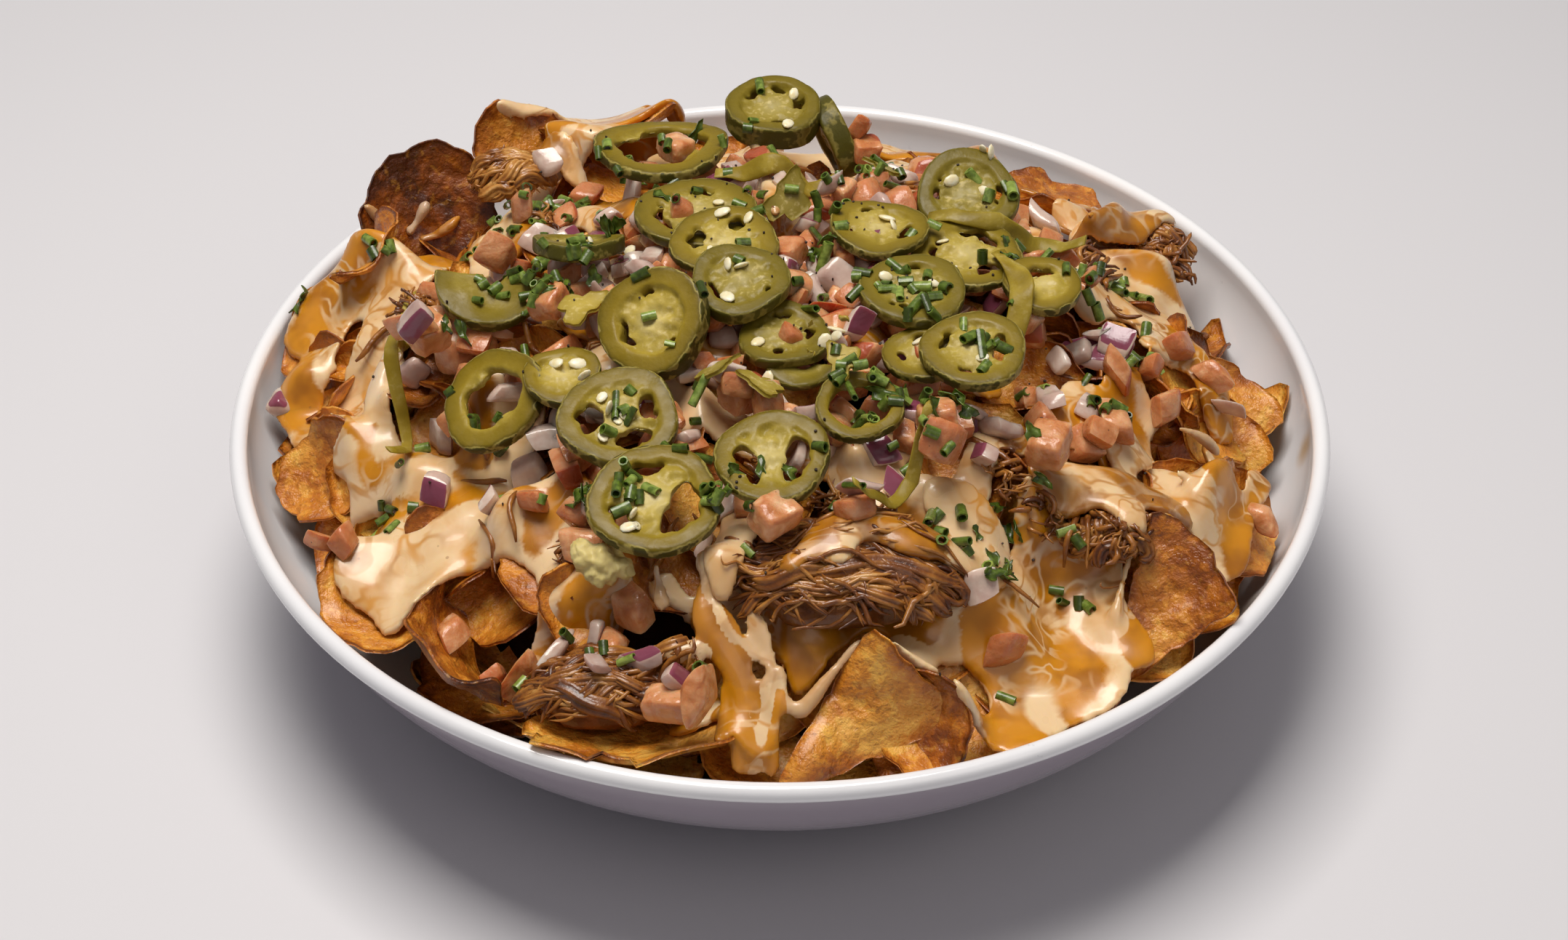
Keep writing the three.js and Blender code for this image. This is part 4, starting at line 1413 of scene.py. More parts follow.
# Width, depth and path of each stroke of the cream sauce.
CREAM_STROKES = (
    (17, 3.0, ((-72, -48), (-63, -63), (-60, -74), (-60, -82))), (10, 2.6, ((-52, -58), (-44, -67))),
    (8, 2.6, ((-69, -74), (-63, -86), (-58, -93))), (15, 2.6, ((-82, -52), (-82, -61), (-84, -74))),
    (12, 2.6, ((-55, -71), (-52, -80), (-55, -84))), (9, 2.4, ((-41, -84), (-46, -91))),
    (11, 3.0, ((-9, -79), (-13, -90), (-17, -98))), (8, 2.8, ((-18, -104), (-16, -109))),
    (3.5, 2.2, ((0, -109), (-2, -113))), (8, 2.4, ((-72, -86), (-67, -92))), (10, 2.4, ((14, -76), (6, -83))),
    (9, 2.4, ((-27, -84), (-26, -90))), (11, 2.8, ((15, -68), (24, -70), (34, -68))),
    (12, 2.8, ((34, -76), (40, -74), (43, -81), (38, -87))), (9, 2.4, ((26, -101), (30, -105))),
    (9, 2.6, ((40, -99), (37, -105), (39, -111))), (8, 2.2, ((55, -73), (58, -80), (58, -85))),
    (10, 2.8, ((59, -98), (59, -103), (58, -109))), (7, 2.2, ((71, -86), (74, -92), (73, -98), (69, -104))),
    (9, 2.6, ((66, -66), (74, -72), (72, -80))), (10, 2.6, ((88, -46), (98, -43), (96, -54))),
    (8, 2.6, ((82, -46), (91, -53))), (9, 2.6, ((83, -34), (92, -34), (102, -27))),
    (9, 2.6, ((48, -52), (40, -63))), (10, 2.8, ((-92, 28), (-98, 16), (-100, 4), (-99, -6), (-104, -14))),
    (9, 2.8, ((-112, 36), (-118, 28))), (8, 2.8, ((-96, 30), (-106, 32), (-114, 22), (-116, 8))),
    (6, 2.8, ((-116, -6), (-110, -12))), (15, 2.8, ((-84, -57), (-88, -62), (-92, -64))),
    (5, 2.6, ((-93, -4), (-96, -14), (-93, -28))), (10, 2.6, ((-74, 26), (-67, 36), (-63, 48))),
    (9, 2.6, ((-60, 66), (-50, 78))), (8, 2.6, ((-76, 32), (-70, 14))), (10, 2.6, ((-51, 50), (-46, 34))),
    (5, 2.4, ((-105, -26), (-101, -38))), (10, 2.6, ((-90, -34), (-80, -44))),
    (10, 2.4, ((-64, -22), (-61, -37))), (8, 2.8, ((-7, 58), (-4, 36), (0, 16))),
    (7, 2.6, ((5, 40), (10, 17))), (9, 2.6, ((18, 34), (24, 20))),
    (16, 3.0, ((66, 40), (70, 26), (84, 34), (92, 42), (98, 30))), (11, 2.8, ((74, 12), (86, 20), (97, 24))),
    (8, 2.6, ((91, 12), (92, 0))), (10, 2.6, ((70, -27), (60, -44))), (10, 2.6, ((47, -53), (41, -61))),
    (9, 2.6, ((88, -20), (96, -30))), (9, 2.4, ((22, -62), (12, -68))), (11, 2.6, ((52, 34), (60, 8))),
    (9, 2.4, ((-44, -24), (-20, -42), (4, -56), (28, -52))),
    (10, 2.4, ((-40, 8), (-14, 12), (12, 0), (34, 6))), (9, 2.4, ((-30, 70), (-8, 78), (18, 76), (44, 66))),
    (8, 2.6, ((-90, 84), (-70, 92), (-40, 100))), (9, 2.6, ((0, 98), (20, 106), (50, 98))),
    (9, 2.6, ((76, 62), (92, 58), (100, 50))),
)
# The same for the cheese sauce.
CHEESE_STROKES = (
    (5, 2.6, ((-60, -52), (-72, -49), (-80, -50), (-92, -48))),
    (5, 2.6, ((-47, -58), (-52, -64), (-58, -63), (-56, -68))),
    (4, 2.4, ((-70, -62), (-67, -76), (-59, -87), (-56, -92), (-57, -96))),
    (8, 2.8, ((-41, -86), (-50, -91), (-54, -94))),
    (7, 3.0, ((-19, -91), (-18, -101), (-13, -106), (-9, -111), (-8, -121))),
    (6, 2.8, ((-23, -104), (-20, -110))), (14, 2.4, ((10, -82), (7, -90), (2, -97))),
    (5, 2.8, ((-6, -117), (-5, -122))), (13, 2.4, ((20, -86), (32, -89))),
    (14, 2.8, ((58, -69), (70, -61), (82, -57), (88, -56))), (15, 4.2, ((52, -88), (57, -90), (61, -90))),
    (10, 4.2, ((51, -93), (47, -100), (44, -107), (46, -112), (52, -116))),
    (7, 4.2, ((62, -89), (67, -93), (67, -99), (64, -106))), (6, 2.6, ((78, -80), (80, -87))),
    (8, 2.6, ((99, -44), (107, -43), (103, -53))), (5, 2.6, ((115, -28), (112, -38))),
    (8, 2.6, ((92, -28), (100, -28), (104, -22))), (8, 2.6, ((25, -75), (31, -73))),
    (9, 3.8, ((-86, 36), (-97, 38), (-104, 40), (-112, 34), (-118, 24))),
    (5, 2.6, ((-102, 28), (-110, 26), (-117, 16))), (6, 2.6, ((-119, 14), (-121, 2))),
    (6, 2.6, ((-118, 6), (-116, -6), (-112, -12))), (6, 2.6, ((-97, -15), (-99, -24))),
    (5, 2.4, ((-102, -32), (-94, -34), (-87, -34))), (9, 2.8, ((-56, 80), (-44, 86), (-30, 88))),
    (7, 2.6, ((-76, 31), (-66, 26), (-60, 34))), (8, 2.6, ((-51, 54), (-43, 41), (-36, 33))),
    (5, 2.4, ((-77, -43), (-62, -52), (-48, -61))), (5, 2.4, ((-85, 42), (-89, 50))),
    (7, 2.4, ((-69, -22), (-73, -36))), (6, 2.8, ((0, 25), (6, 13))), (10, 2.6, ((24, 33), (32, 26))),
    (6, 2.8, ((78, 40), (68, 27), (61, 10))), (9, 2.8, ((88, 44), (96, 36))),
    (10, 2.8, ((84, -15), (80, -25), (75, -33))), (9, 2.8, ((56, -50), (64, -38), (72, -31))),
    (8, 2.6, ((26, 88), (44, 94), (62, 86))), (7, 2.6, ((69, 78), (80, 72))),
    (8, 2.6, ((96, 9), (104, 4), (108, -8))), (8, 2.6, ((76, -44), (84, -45))),
    (7, 2.6, ((-15, 16), (-26, 8))), (7, 2.4, ((-50, -10), (-30, -20), (-8, -28))),
    (7, 2.4, ((6, -16), (30, -26), (50, -28))), (6, 2.4, ((-84, 88), (-60, 98), (-30, 104))),
)
# Strokes of both sauces poured over the meat.
TOP_STROKES = (
    (CREAM, 13, 2.6, ((82, 54), (92, 58), (98, 66))), (CHEESE, 8, 2.6, ((86, 66), (96, 72))),
    (CHEESE, 6, 2.6, ((78, 46), (88, 50), (97, 56))), (CREAM, 9, 2.4, ((84, -36), (78, -44))),
    (CHEESE, 9, 2.0, ((12, -78), (9, -85))), (CHEESE, 5, 1.8, ((8, -87), (2, -92))),
    (CREAM, 4, 2.0, ((17, -76), (14, -84), (10, -92))),
    (CHEESE, 11, 2.6, ((62, -60), (70, -59), (80, -56), (88, -54))),
    (CREAM, 6, 2.2, ((66, -56), (76, -60), (78, -68))),
    (CREAM, 6, 2.2, ((-64, 74), (-56, 70), (-52, 62))), (CHEESE, 5, 2.2, ((-60, 72), (-56, 64))),
    (CHEESE, 11, 2.8, ((20, -80), (30, -84))), (CREAM, 12, 2.8, ((38, -68), (44, -76), (41, -84))),
    (CREAM, 9, 2.2, ((-6, -70), (-11, -84), (-15, -94))),
)
# Radius, path and flatness of each rope of sauce.
STRANDS = (
    (CREAM, 3.4, ((-15, -86, 83), (-15, -90, 81), (-15, -94, 77)), 0.5),
    (CHEESE, 2.7, ((-17, -92, 79), (-17, -99, 73), (-13, -104, 69), (-10, -107, 66), (-8, -111, 62),
                   (-9, -116, 57), (-9, -124, 50)), 0.55),
    (CHEESE, 1.7, ((-11, -106, 66), (-12, -110, 62), (-12, -116, 57), (-13, -122, 51)), 0.6),
    (CHEESE, 1.5, ((-13, -95, 76), (-10, -100, 72), (-6, -107, 66), (-5, -113, 61), (-7, -118, 55),
                   (-8, -124, 50))),
    (CREAM, 1.3, ((-15, -93, 78), (-12, -100, 73), (-8, -103, 70), (-3, -106, 67), (-1, -108, 66))),
    (CREAM, 2.6, ((-7, -95, 76), (-4, -101, 70), (-1, -106, 66)), 0.3),
    (CREAM, 1.5, ((-1, -106, 67), (-3, -110, 64), (-2, -113, 61), (-4, -117, 57), (-6, -124, 50)), 0.7),
    (CHEESE, 1.6, ((1, -110, 64), (0, -114, 61), (-1, -118, 56), (-2, -124, 50)), 0.7),
    (CREAM, 1.5, ((0, -106, 67), (1, -111, 63), (3, -114, 60)), 0.8),
    (CREAM, 1.7, ((18, -102, 71), (11, -108, 66), (7, -112, 62), (3, -115, 59)), 0.85),
    (CREAM, 2.5, ((-27, -103, 69), (-24, -105, 69), (-20, -104, 69), (-16, -104, 69)), 0.8),
    (CHEESE, 2.0, ((-21, -104, 69), (-18, -106, 67), (-18, -109, 63)), 0.8),
    (CREAM, 0.8, ((-7, -113, 62), (-6, -119, 56), (-6, -124, 51))),
    (CREAM, 2.1, ((-92, 62, 73), (-95, 59, 68), (-98, 57, 65))),
    (CREAM, 1.9, ((-100, 58, 68), (-104, 55, 66), (-108, 54, 64))),
    (CHEESE, 2.0, ((-84, 62, 68), (-88, 59, 65), (-95, 57, 63))),
    (CREAM, 1.7, ((-27, -87, 79), (-26, -92, 76), (-25, -96, 73))),
    (CREAM, 2.4, ((-8, 58, 96), (-3, 36, 99), (-1, 16, 100))),
    (CREAM, 1.5, ((82, -62, 71), (79, -70, 66), (76, -79, 61), (75, -84, 57)), 0.8),
    (CREAM, 2.4, ((-90, 16, 77), (-93, 2, 75), (-97, -9, 70), (-99, -20, 67)), 0.5),
    (CREAM, 2.4, ((92, -44, 69), (98, -42, 64), (96, -54, 59)), 0.5),
    (CREAM, 1.8, ((94, -30, 71), (102, -26, 64), (106, -24, 57))),
    (CHEESE, 1.3, ((88, 60, 72), (86, 52, 76), (78, 42, 82))),
)


@dataclass
class SauceCoat:
    """The poured sauces: a film that runs down over what lies there and sets where it gets thin."""

    relief: Relief
    rows: Sequence[Stroke]
    strands: Sequence[Strand] = ()
    voxel: float = 0.85
    steps: int = 90
    flow: float = 0.012
    cling: float = 0.6
    bridge: int = 9
    body: float = 1.2
    glaze: float = 0.0

    def poured(self) -> Floats:
        """Both sauces' thickness over the grid before they run."""
        grid = self.relief
        flat = grid.plan
        wobble = np.column_stack([ripple(flat, 12, 11), ripple(flat, 12, 12)]) * 4.0
        wobble += np.column_stack([ripple(flat, 5, 13), ripple(flat, 5, 14)]) * 0.7
        places = flat[:, :2] + wobble
        layers = np.zeros((2, grid.x.size))
        for stroke in self.rows:
            path = smooth_path(stroke.path, 24)
            away = np.full(len(places), 1e9)
            for a, b in zip(path[:-1], path[1:]):
                span = b - a
                t = np.clip(((places - a) @ span) / max(span @ span, 1e-9), 0, 1)
                away = np.minimum(away, np.linalg.norm(places - a - t[:, None] * span, axis=1))
            amount = stroke.depth * step_between(stroke.width * 0.62, stroke.width * 0.3, away)
            own = stroke.pour.value
            layers[own] = np.maximum(layers[own], amount)
            if stroke.pour is Pour.CHEESE:
                layers[1 - own] *= 1 - 0.8 * np.clip(amount / stroke.depth, 0, 1)
        dry = step_between(2, 8, HEAP.dent(grid.x, grid.y)).ravel()
        return (layers * (1 - dry)).reshape(2, *grid.x.shape)

    def bed(self) -> Floats:
        """The surface that the sauce runs over, which bridges narrow gaps between crisps."""
        raw = self.relief.heights
        closed = widened(widened(raw, self.bridge), self.bridge, highest=False)
        return blurred(np.maximum(blurred(closed, 3.2) - 0.4, widened(raw, 2)), 1.3)

    def settled(self, bed: Floats, layers: Floats) -> Floats:
        """Lets the film run downhill until it is thin or the time is over.

        Args:
            bed: Height of the surface under the film.
            layers: Thickness of each sauce, which this changes.

        Returns:
            The layers.
        """
        ways = []
        for axis in (0, 1):
            near, far = [slice(None), slice(None)], [slice(None), slice(None)]
            near[axis], far[axis] = slice(None, -1), slice(1, None)
            ways.append((tuple(near), tuple(far)))
        for near, far in ways * self.steps:
            total = layers.sum(axis=0)
            drop = (bed[near] + total[near] - bed[far] - total[far]) / Relief.STEP
            forward = drop > 0
            thick = np.where(forward, total[near], total[far])
            mobile = np.maximum(thick - self.cling, 0)
            rate = self.flow * mobile**3 * np.minimum(np.abs(drop), 2.2) / Relief.STEP
            rate = np.minimum(rate, 0.22 * mobile) / np.maximum(thick, 1e-6)
            for layer in layers:
                moved = np.where(forward, rate * layer[near], -rate * layer[far])
                layer[near] -= moved
                layer[far] += moved
        return layers

    def shell(self, surface: Floats, under: Floats, wet: Floats) -> Form:
        """A closed shell between two surfaces.

        Args:
            surface: Height of the upper side over the grid.
            under: Height of the lower side.
            wet: True where there is sauce.

        Returns:
            The shell.
        """
        corner = wet[:-1, :-1] & wet[1:, :-1] & wet[1:, 1:] & wet[:-1, 1:]
        used = np.zeros(wet.shape, bool)
        for part in (used[:-1, :-1], used[1:, :-1], used[1:, 1:], used[:-1, 1:]):
            part |= corner
        number = np.cumsum(used.ravel()).reshape(wet.shape) - 1
        count = int(used.sum())
        x, y = self.relief.x[used], self.relief.y[used]
        points = np.concatenate([columns(x, y, surface[used]), columns(x, y, under[used])])
        i, j = np.nonzero(corner)
        a, b, c, d = number[i, j], number[i + 1, j], number[i + 1, j + 1], number[i, j + 1]
        faces = [np.column_stack([a, b, c, d]), np.column_stack([d, c, b, a]) + count]
        padded = np.pad(corner, 1)
        for di, dj, first, second in ((-1, 0, d, a), (1, 0, b, c), (0, -1, a, b), (0, 1, c, d)):
            bare = ~padded[i + 1 + di, j + 1 + dj]
            p, q = first[bare], second[bare]
            faces.append(np.column_stack([q, p, p + count, q + count]))
        return Form(points, [tuple(face) for face in np.concatenate(faces).tolist()])

    def hung(self, strand: Strand) -> tuple[Floats, Form]:
        """Hangs a strand over what lies there.

        Args:
            strand: The strand.

        Returns:
            Its middle line, lifted clear of what it would cut through, and its form.
        """
        path = smooth_path(strand.path, 30)
        for _ in range(2):
            path[:, 2] = averaged(np.maximum(path[:, 2], self.relief.under(path)), 3)
        up = columns(path[:, :2] / 150, 0.8)
        share = np.linspace(0, 1, 30)
        swell = 0.86 + 0.22 * np.sin(7 * share + strand.radius * 9)
        swell = swell * (0.35 + 0.65 * np.sqrt(np.minimum(1, 6 * share)))
        swell *= np.where(share > 0.93, 1 - 0.5 * (share - 0.93) / 0.07, 1 + 0.3 * share**6)
        return path, swept(path, strand.radius * swell, 12, up, strand.flat)

    def cheese_share(self, layers: Floats) -> Floats:
        """The share of cheese over the grid, in streaks that point away from the middle.

        Args:
            layers: Thickness of each sauce over the grid.

        Returns:
            The share, which the streaks carry past 0 and 1.
        """
        share = blurred(layers[1], 1.4) / np.maximum(blurred(layers.sum(axis=0), 1.4), 1e-6)
        x, y = self.relief.plan[:, 0], self.relief.plan[:, 1]
        drift = columns(np.arctan2(y, x) * 95, 0.25 * np.hypot(x, y), 0)
        drift[:, 0] += 6 * ripple(drift * [0.3, 4, 1], 22, 71)
        streaks = ripple(drift, 7, 72) + 0.5 * ripple(drift, 3.2, 73)
        return np.clip(share, 0, 1) + 0.3 * streaks.reshape(share.shape)

    def with_strands(self, cheese: Floats, points: Floats, hung: Sequence[tuple[Floats, Strand]]) -> Floats:
        """The share of cheese at some points, where points near a strand take the strand's sauce.

        Args:
            cheese: The share at the points before.
            points: The points.
            hung: Each strand with its middle line.

        Returns:
            The share.
        """
        gaps = np.full((2, len(points)), 9.0)
        for path, strand in hung:
            apart = np.linalg.norm(points[:, None, :] - path[None, :, :], axis=2)
            gap = np.min(apart, axis=1) - strand.radius
            gaps[strand.pour.value] = np.minimum(gaps[strand.pour.value], gap)
        mine = step_between(-0.45, 0.45, gaps[0] - gaps[1])
        return cheese + (mine - cheese) * step_between(2.2, 1.0, gaps.min(axis=0))

    def build(self, parts: Sequence[tuple[str, float, float]]) -> None:
        """Pours, lets it run, and makes one piece for each part of the coat.

        Args:
            parts: Each piece's name, with the range of Y that it covers.
        """
        grid = self.relief
        bed = self.bed()
        layers = self.settled(bed, self.poured())
        total = layers.sum(axis=0) * (1 - step_between(3, 7, HEAP.dent(grid.x, grid.y)))
        share = self.cheese_share(layers)
        cover = blurred(step_between(0.2, 0.5, total), 2.2)
        cover *= (np.hypot(grid.x, grid.y) < 129.5) & (bed > grid.bowl + 0.3)
        deep = 0.6 * np.clip(blurred(total, 2) - 1, 0, 3)
        film = 0.3 + self.body * (np.sqrt(np.clip(2 * cover - 1, 0, 1)) + deep)
        surface = blurred(np.maximum(blurred(bed + film, 2.2), bed + 0.3), 1.0)
        surface = np.maximum(surface, grid.bowl + 1.0)
        under = np.maximum(widened(surface, 2, highest=False) - 1.1, grid.bowl + 0.3)
        slope = np.hypot(*np.gradient(blurred(surface, 2), Relief.STEP))
        for name, low, high in parts:
            batch = Batch(name)
            batch.add(self.shell(surface, under, (cover > 0.5) & (grid.y > low) & (grid.y < high)))
            hung = []
            for strand in self.strands:
                if low < strand.path[len(strand.path) // 2][1] <= high:
                    path, form = self.hung(strand)
                    batch.add(form)
                    hung.append((path, strand))
            piece = batch.raw()
            melt(piece, self.voxel * MM, 6)
            points = read_points(piece) / MM
            cells = grid.cells(points)
            cheese = self.with_strands(share[cells], points, hung)
            # steep faces, which the sauce's colour greys as painted shade
            steep = step_between(0.9, 2.4, slope[cells])
            write_values(piece, cheese=cheese, film=film[cells], glaze=self.glaze, steep=steep)
            grid.add(points)
            dress(piece, Sauce())


# ---------- toppings ----------
def fibre(
    rng: Chance, path: Floats, low: float, high: float, middle: float, spread: float
) -> tuple[Form, float]:
    """A thin fibre that tapers to both ends, and its shade.

    Args:
        rng: Where its chance comes from.
        path: Its middle line.
        low: Its least radius in the middle.
        high: Its greatest radius there.
        middle: Its usual shade, from 0 to 1.
        spread: How far the shade strays.

    Returns:
        The fibre and the shade.
    """
    taper = np.clip(1.1 - np.abs(np.linspace(-1, 1, len(path))) ** 3, 0.2, 1)
    return swept(path, rng.uniform(low, high) * taper, 6), tone(rng, middle, spread)


@dataclass
class ShreddedMeat:
    """Clumps of shredded meat: wet fibres lying side by side, with loops and loose ends."""

    relief: Relief
    # the CAD node, how many ropes, the way they mostly run, their spread, how pale and how large they are
    clumps: tuple[tuple[str, int, float, float, float, float], ...] = (
        ("front", 34, -8.0, 20.0, 0.02, 1.0), ("front_left", 26, 4.0, 22.0, 0.02, 1.0),
        ("left", 10, 70.0, 40.0, 0.0, 0.9), ("back_left", 18, 10.0, 14.0, 0.24, 0.82),
        ("back_right", 14, -30.0, 40.0, 0.04, 0.9), ("right", 14, 20.0, 35.0, 0.0, 0.72),
    )
    # places of the loose fibres and of the crumbs, apart from those strewn at random
    loose: Rows = (
        (-66, -66), (-60, -64), (104, 50), (108, 44), (96, 62), (60, -46), (50, -84), (30, -98), (-100, 8),
        (66, -66), (70, -68), (64, -62), (68, -62), (84, 10), (82, 16), (-30, -76), (-26, -78),
    )
    crumbs: Rows = (
        (-91, 8), (-88, 3), (77, 31), (80, 27), (60, -67), (24, -78), (-47, -75), (12, -69), (30, 40),
        (-58, 34), (64, 20), (104, 44), (-2, -60), (52, -60), (76, -70),
    )

    @staticmethod
    def room(name: str) -> tuple[Floats, Floats]:
        """The middle of a clump's CAD solid and half its size."""
        low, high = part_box(f"meat_{name}")
        return np.array((low + high) / 2) / MM, np.array((high - low) / 2) / MM

    def line(
        self, rng: Chance, centre: Floats, half: Floats, heading: float, length: float, free: float
    ) -> Floats:
        """The middle line of a rope or a fibre that follows the clump's dome.

        Args:
            rng: Where its chance comes from.
            centre: Middle of the clump.
            half: Half the clump's size.
            heading: The way it runs, in degrees.
            length: How long it is.
            free: How far it may stand off at its ends.

        Returns:
            Its points, in place.
        """
        count = 13
        share = np.linspace(-0.5, 0.5, count)
        angle = math.radians(heading) + share * rng.normal(0, 0.9)
        angle = angle + 0.25 * np.sin(share * 9 + rng.uniform(0, 6))
        radius, turn = math.sqrt(rng.uniform(0, 0.85)), rng.uniform(0, 2 * math.pi)
        spot = radius * half[:2] * np.array([math.cos(turn), math.sin(turn)])
        plan = length * np.cumsum(np.column_stack([np.cos(angle), np.sin(angle)]), axis=0) / count
        plan += spot - plan.mean(axis=0)
        reach = np.sqrt(((plan / half[:2]) ** 2).sum(axis=1))
        plan *= (np.minimum(1, 1.02 / np.maximum(reach, 1e-6)) ** 0.8)[:, None]
        dome = centre[2] + half[2] * np.sqrt(np.clip(1 - np.minimum(reach, 1) ** 2, 0, 1)) - 1.2
        path = np.column_stack([plan + centre[:2], dome])
        path[:, 2] = averaged(np.maximum(path[:, 2], self.relief.under(path) - 0.2), 2)
        path[:, 2] += rng.uniform(-0.8, 0.8) + rng.normal(0, free) * (2 * share) ** 2
        return path + 0.5 * np.sin(share[:, None] * rng.uniform(6, 12) + rng.uniform(0, 6, 3))

    def clump(
        self, rng: Chance, name: str, count: int, heading: float, spread: float, pale: float, scale: float
    ) -> None:
        """Makes one clump: a lumpy bed, ropes over it and fine fibres over those.

        Args:
            rng: Where its chance comes from.
            name: Where it lies, as in its CAD node's name.
            count: How many ropes it has.
            heading: The way they mostly run, in degrees.
            spread: How far they stray from that.
            pale: How much paler than usual it is.
            scale: Its size, as a share of the CAD solid's.
        """
        ball = Bench.ball(32, 20)
        centre, half = self.room(name)
        half = half * scale
        batch = Batch(f"shreds_{name}")
        bed = ball.points * (1 + 0.2 * ripple(ball.points * 10, 3.2, 7))[:, None] * half * 0.8 + centre
        batch.add(ball.moved(bed), strand=0.28 + pale)
        for _ in range(count):
            length = rng.uniform(0.8, 1.5) * half[:2].max()
            path = self.line(rng, centre, half, heading + rng.normal(0, spread), length, 0.5)
            radii = rng.uniform(1.5, 2.7) * np.clip(1.08 - np.abs(np.linspace(-1, 1, 13)) ** 3, 0.25, 1)
            form = rope(path, radii, int(rng.integers(6, 10)), rng.uniform(-4, 4))
            batch.add(form, strand=np.clip(form.values["strand"] + rng.normal(0.04 + pale, 0.1), 0, 1))
        for index in range(count * 5):
            length = rng.uniform(0.4, 1.3) * half[:2].max()
            way = heading + rng.normal(0, spread)
            path = self.line(rng, centre, half, way, length, 1.2 if index % 5 == 0 else 0.4)
            path[:, 2] += 0.6
            form, strand = fibre(rng, path, 0.34, 0.72, 0.38 + pale, 0.18)
            batch.add(form, strand=strand)
        self.relief.add(np.concatenate(batch.points))
        batch.build(Meat(), "meat", node=f"meat_{name}")

    def strays(self, rng: Chance) -> None:
        """Makes the loose fibres and crumbs between the clumps.

        Args:
            rng: Where their chance comes from.
        """
        batch = Batch("shreds_loose")
        strewn = tuple((rng.uniform(-75, 75), rng.uniform(-75, 60)) for _ in range(26))
        for x, y in self.loose + strewn:
            turn = rng.uniform(0, 2 * math.pi)
            along = np.linspace(-0.5, 0.5, 8) * rng.uniform(8, 17)
            path = columns(x + np.cos(turn) * along, y + np.sin(turn) * along, 0)
            height = self.relief.under(path)
            path[:, 2] = 0.5 * height + 0.5 * height.max() + 0.4
            path += 0.9 * np.sin(np.linspace(0, 1, 8)[:, None] * [5.1, 4.3, 3.9] + rng.uniform(0, 6, 3))
            radii = rng.uniform(0.5, 0.9) * np.array([0.4, 0.9, 1, 1, 1, 1, 0.8, 0.4])
            batch.add(swept(path, radii, 6), strand=0.45)
        for x, y in (spot for spot in self.crumbs for _ in range(20)):
            turn, off = rng.uniform(0, 2 * math.pi), rng.normal(0, 2.2, 2)
            along = np.linspace(-0.5, 0.5, 7) * rng.uniform(3, 8)
            path = columns(x + off[0] + np.cos(turn) * along, y + off[1] + np.sin(turn) * along, 0)
            path[:, 2] = self.relief.under(path).max() + rng.uniform(-0.6, 0.9)
            path += 1.1 * np.sin(np.linspace(0, 1, 7)[:, None] * [6.1, 5.3, 4.9] + rng.uniform(0, 6, 3))
            radii = rng.uniform(0.25, 0.8) * np.array([0.4, 0.8, 1, 1, 1, 0.8, 0.4])
            batch.add(swept(path, radii, 6), strand=float(rng.uniform(0.2, 0.7)))
        batch.build(Meat(), "meat")

    def fringe(self, name: str, count: int, heading: float) -> None:
        """Fine fibres of one clump that lie on the sauce poured over it.

        Args:
            name: The clump.
            count: How many fibres.
            heading: The way they mostly run, in degrees.
        """
        rng = np.random.default_rng(67)
        centre, half = self.room(name)
        batch = Batch(f"shreds_over_{name}")
        for _ in range(count):
            way, length = heading + rng.normal(0, 22), rng.uniform(0.3, 0.9) * half[0]
            path = self.line(rng, centre, half, way, length, 0.5)
            path[:, 2] += 0.25
            form, strand = fibre(rng, path, 0.3, 0.65, 0.42, 0.16)
            batch.add(form, strand=strand)
        self.relief.add(np.concatenate(batch.points))
        batch.build(Meat(), "meat")

    def build(self) -> None:
        """Makes one piece for each clump and one of stray fibres."""
        rng = np.random.default_rng(5)
        for row in self.clumps:
            self.clump(rng, *row)
        self.strays(rng)


# Cubes with a place of their own: x, y, t for tomato or o for onion, and a size.
SALSA_SPOTS: tuple[tuple[float, float, str, float], ...] = (
    (-82, -4, "t", 1.0), (-86, -21, "t", 1.1), (-88, -12, "o", 1.1), (-74, -20, "t", 1.2),
    (-80, -28, "o", 1.3), (-77, -10, "t", 1.3), (-84, -24, "o", 1.3), (-76, -30, "t", 1.0),
    (-70, 26, "t", 1.0), (-64, 16, "t", 0.9), (-50, 2, "t", 1.1), (-38, 6, "o", 1.1), (-36, -4, "o", 1.0),
    (26, 4, "o", 1.3), (16, 8, "t", 1.1), (60, -14, "t", 1.1), (72, -8, "o", 1.3), (78, -12, "o", 1.3),
    (66, -20, "o", 1.0), (80, -20, "t", 1.1), (72, -34, "o", 1.1), (78, -38, "t", 1.2), (70, -44, "t", 1.3),
    (60, -42, "t", 1.1), (50, -50, "o", 1.1), (46, -58, "o", 1.0), (40, -50, "t", 1.1), (28, -56, "t", 1.1),
    (36, -66, "t", 1.0), (10, -56, "o", 1.2), (4, -58, "o", 1.0), (-12, -66, "o", 1.0), (-20, -56, "t", 1.0),
    (-48, -56, "t", 1.2), (-56, -62, "t", 0.9), (-66, -58, "o", 0.9), (106, -4, "t", 1.0),
    (110, -10, "o", 1.0), (98, 2, "t", 0.9), (-74, -80, "t", 0.9), (-64, -92, "t", 0.9), (-57, -98, "t", 1.1),
    (-48, -96, "o", 1.1), (-36, -97, "t", 0.9), (-40, -95, "o", 1.0), (-29, -106, "o", 1.1),
    (-39, -108, "o", 0.9), (-22, -113, "o", 1.1), (-17, -118, "t", 1.2), (50, -96, "t", 1.0),
    (44, -90, "o", 0.9), (-105, -59, "t", 0.9), (20, 58, "t", 1.0), (38, 74, "o", 0.9), (-34, 56, "t", 1.1),
    (-10, 40, "o", 1.3), (60, 28, "t", 1.0), (66, 22, "t", 1.0), (114, -44, "t", 0.8), (-60, 60, "o", 0.9),
    (-100, -60, "t", 0.9), (-20, 24, "o", 0.9), (-62, -28, "t", 1.0), (8, -30, "t", 1.2), (-2, -50, "t", 1.1),
)


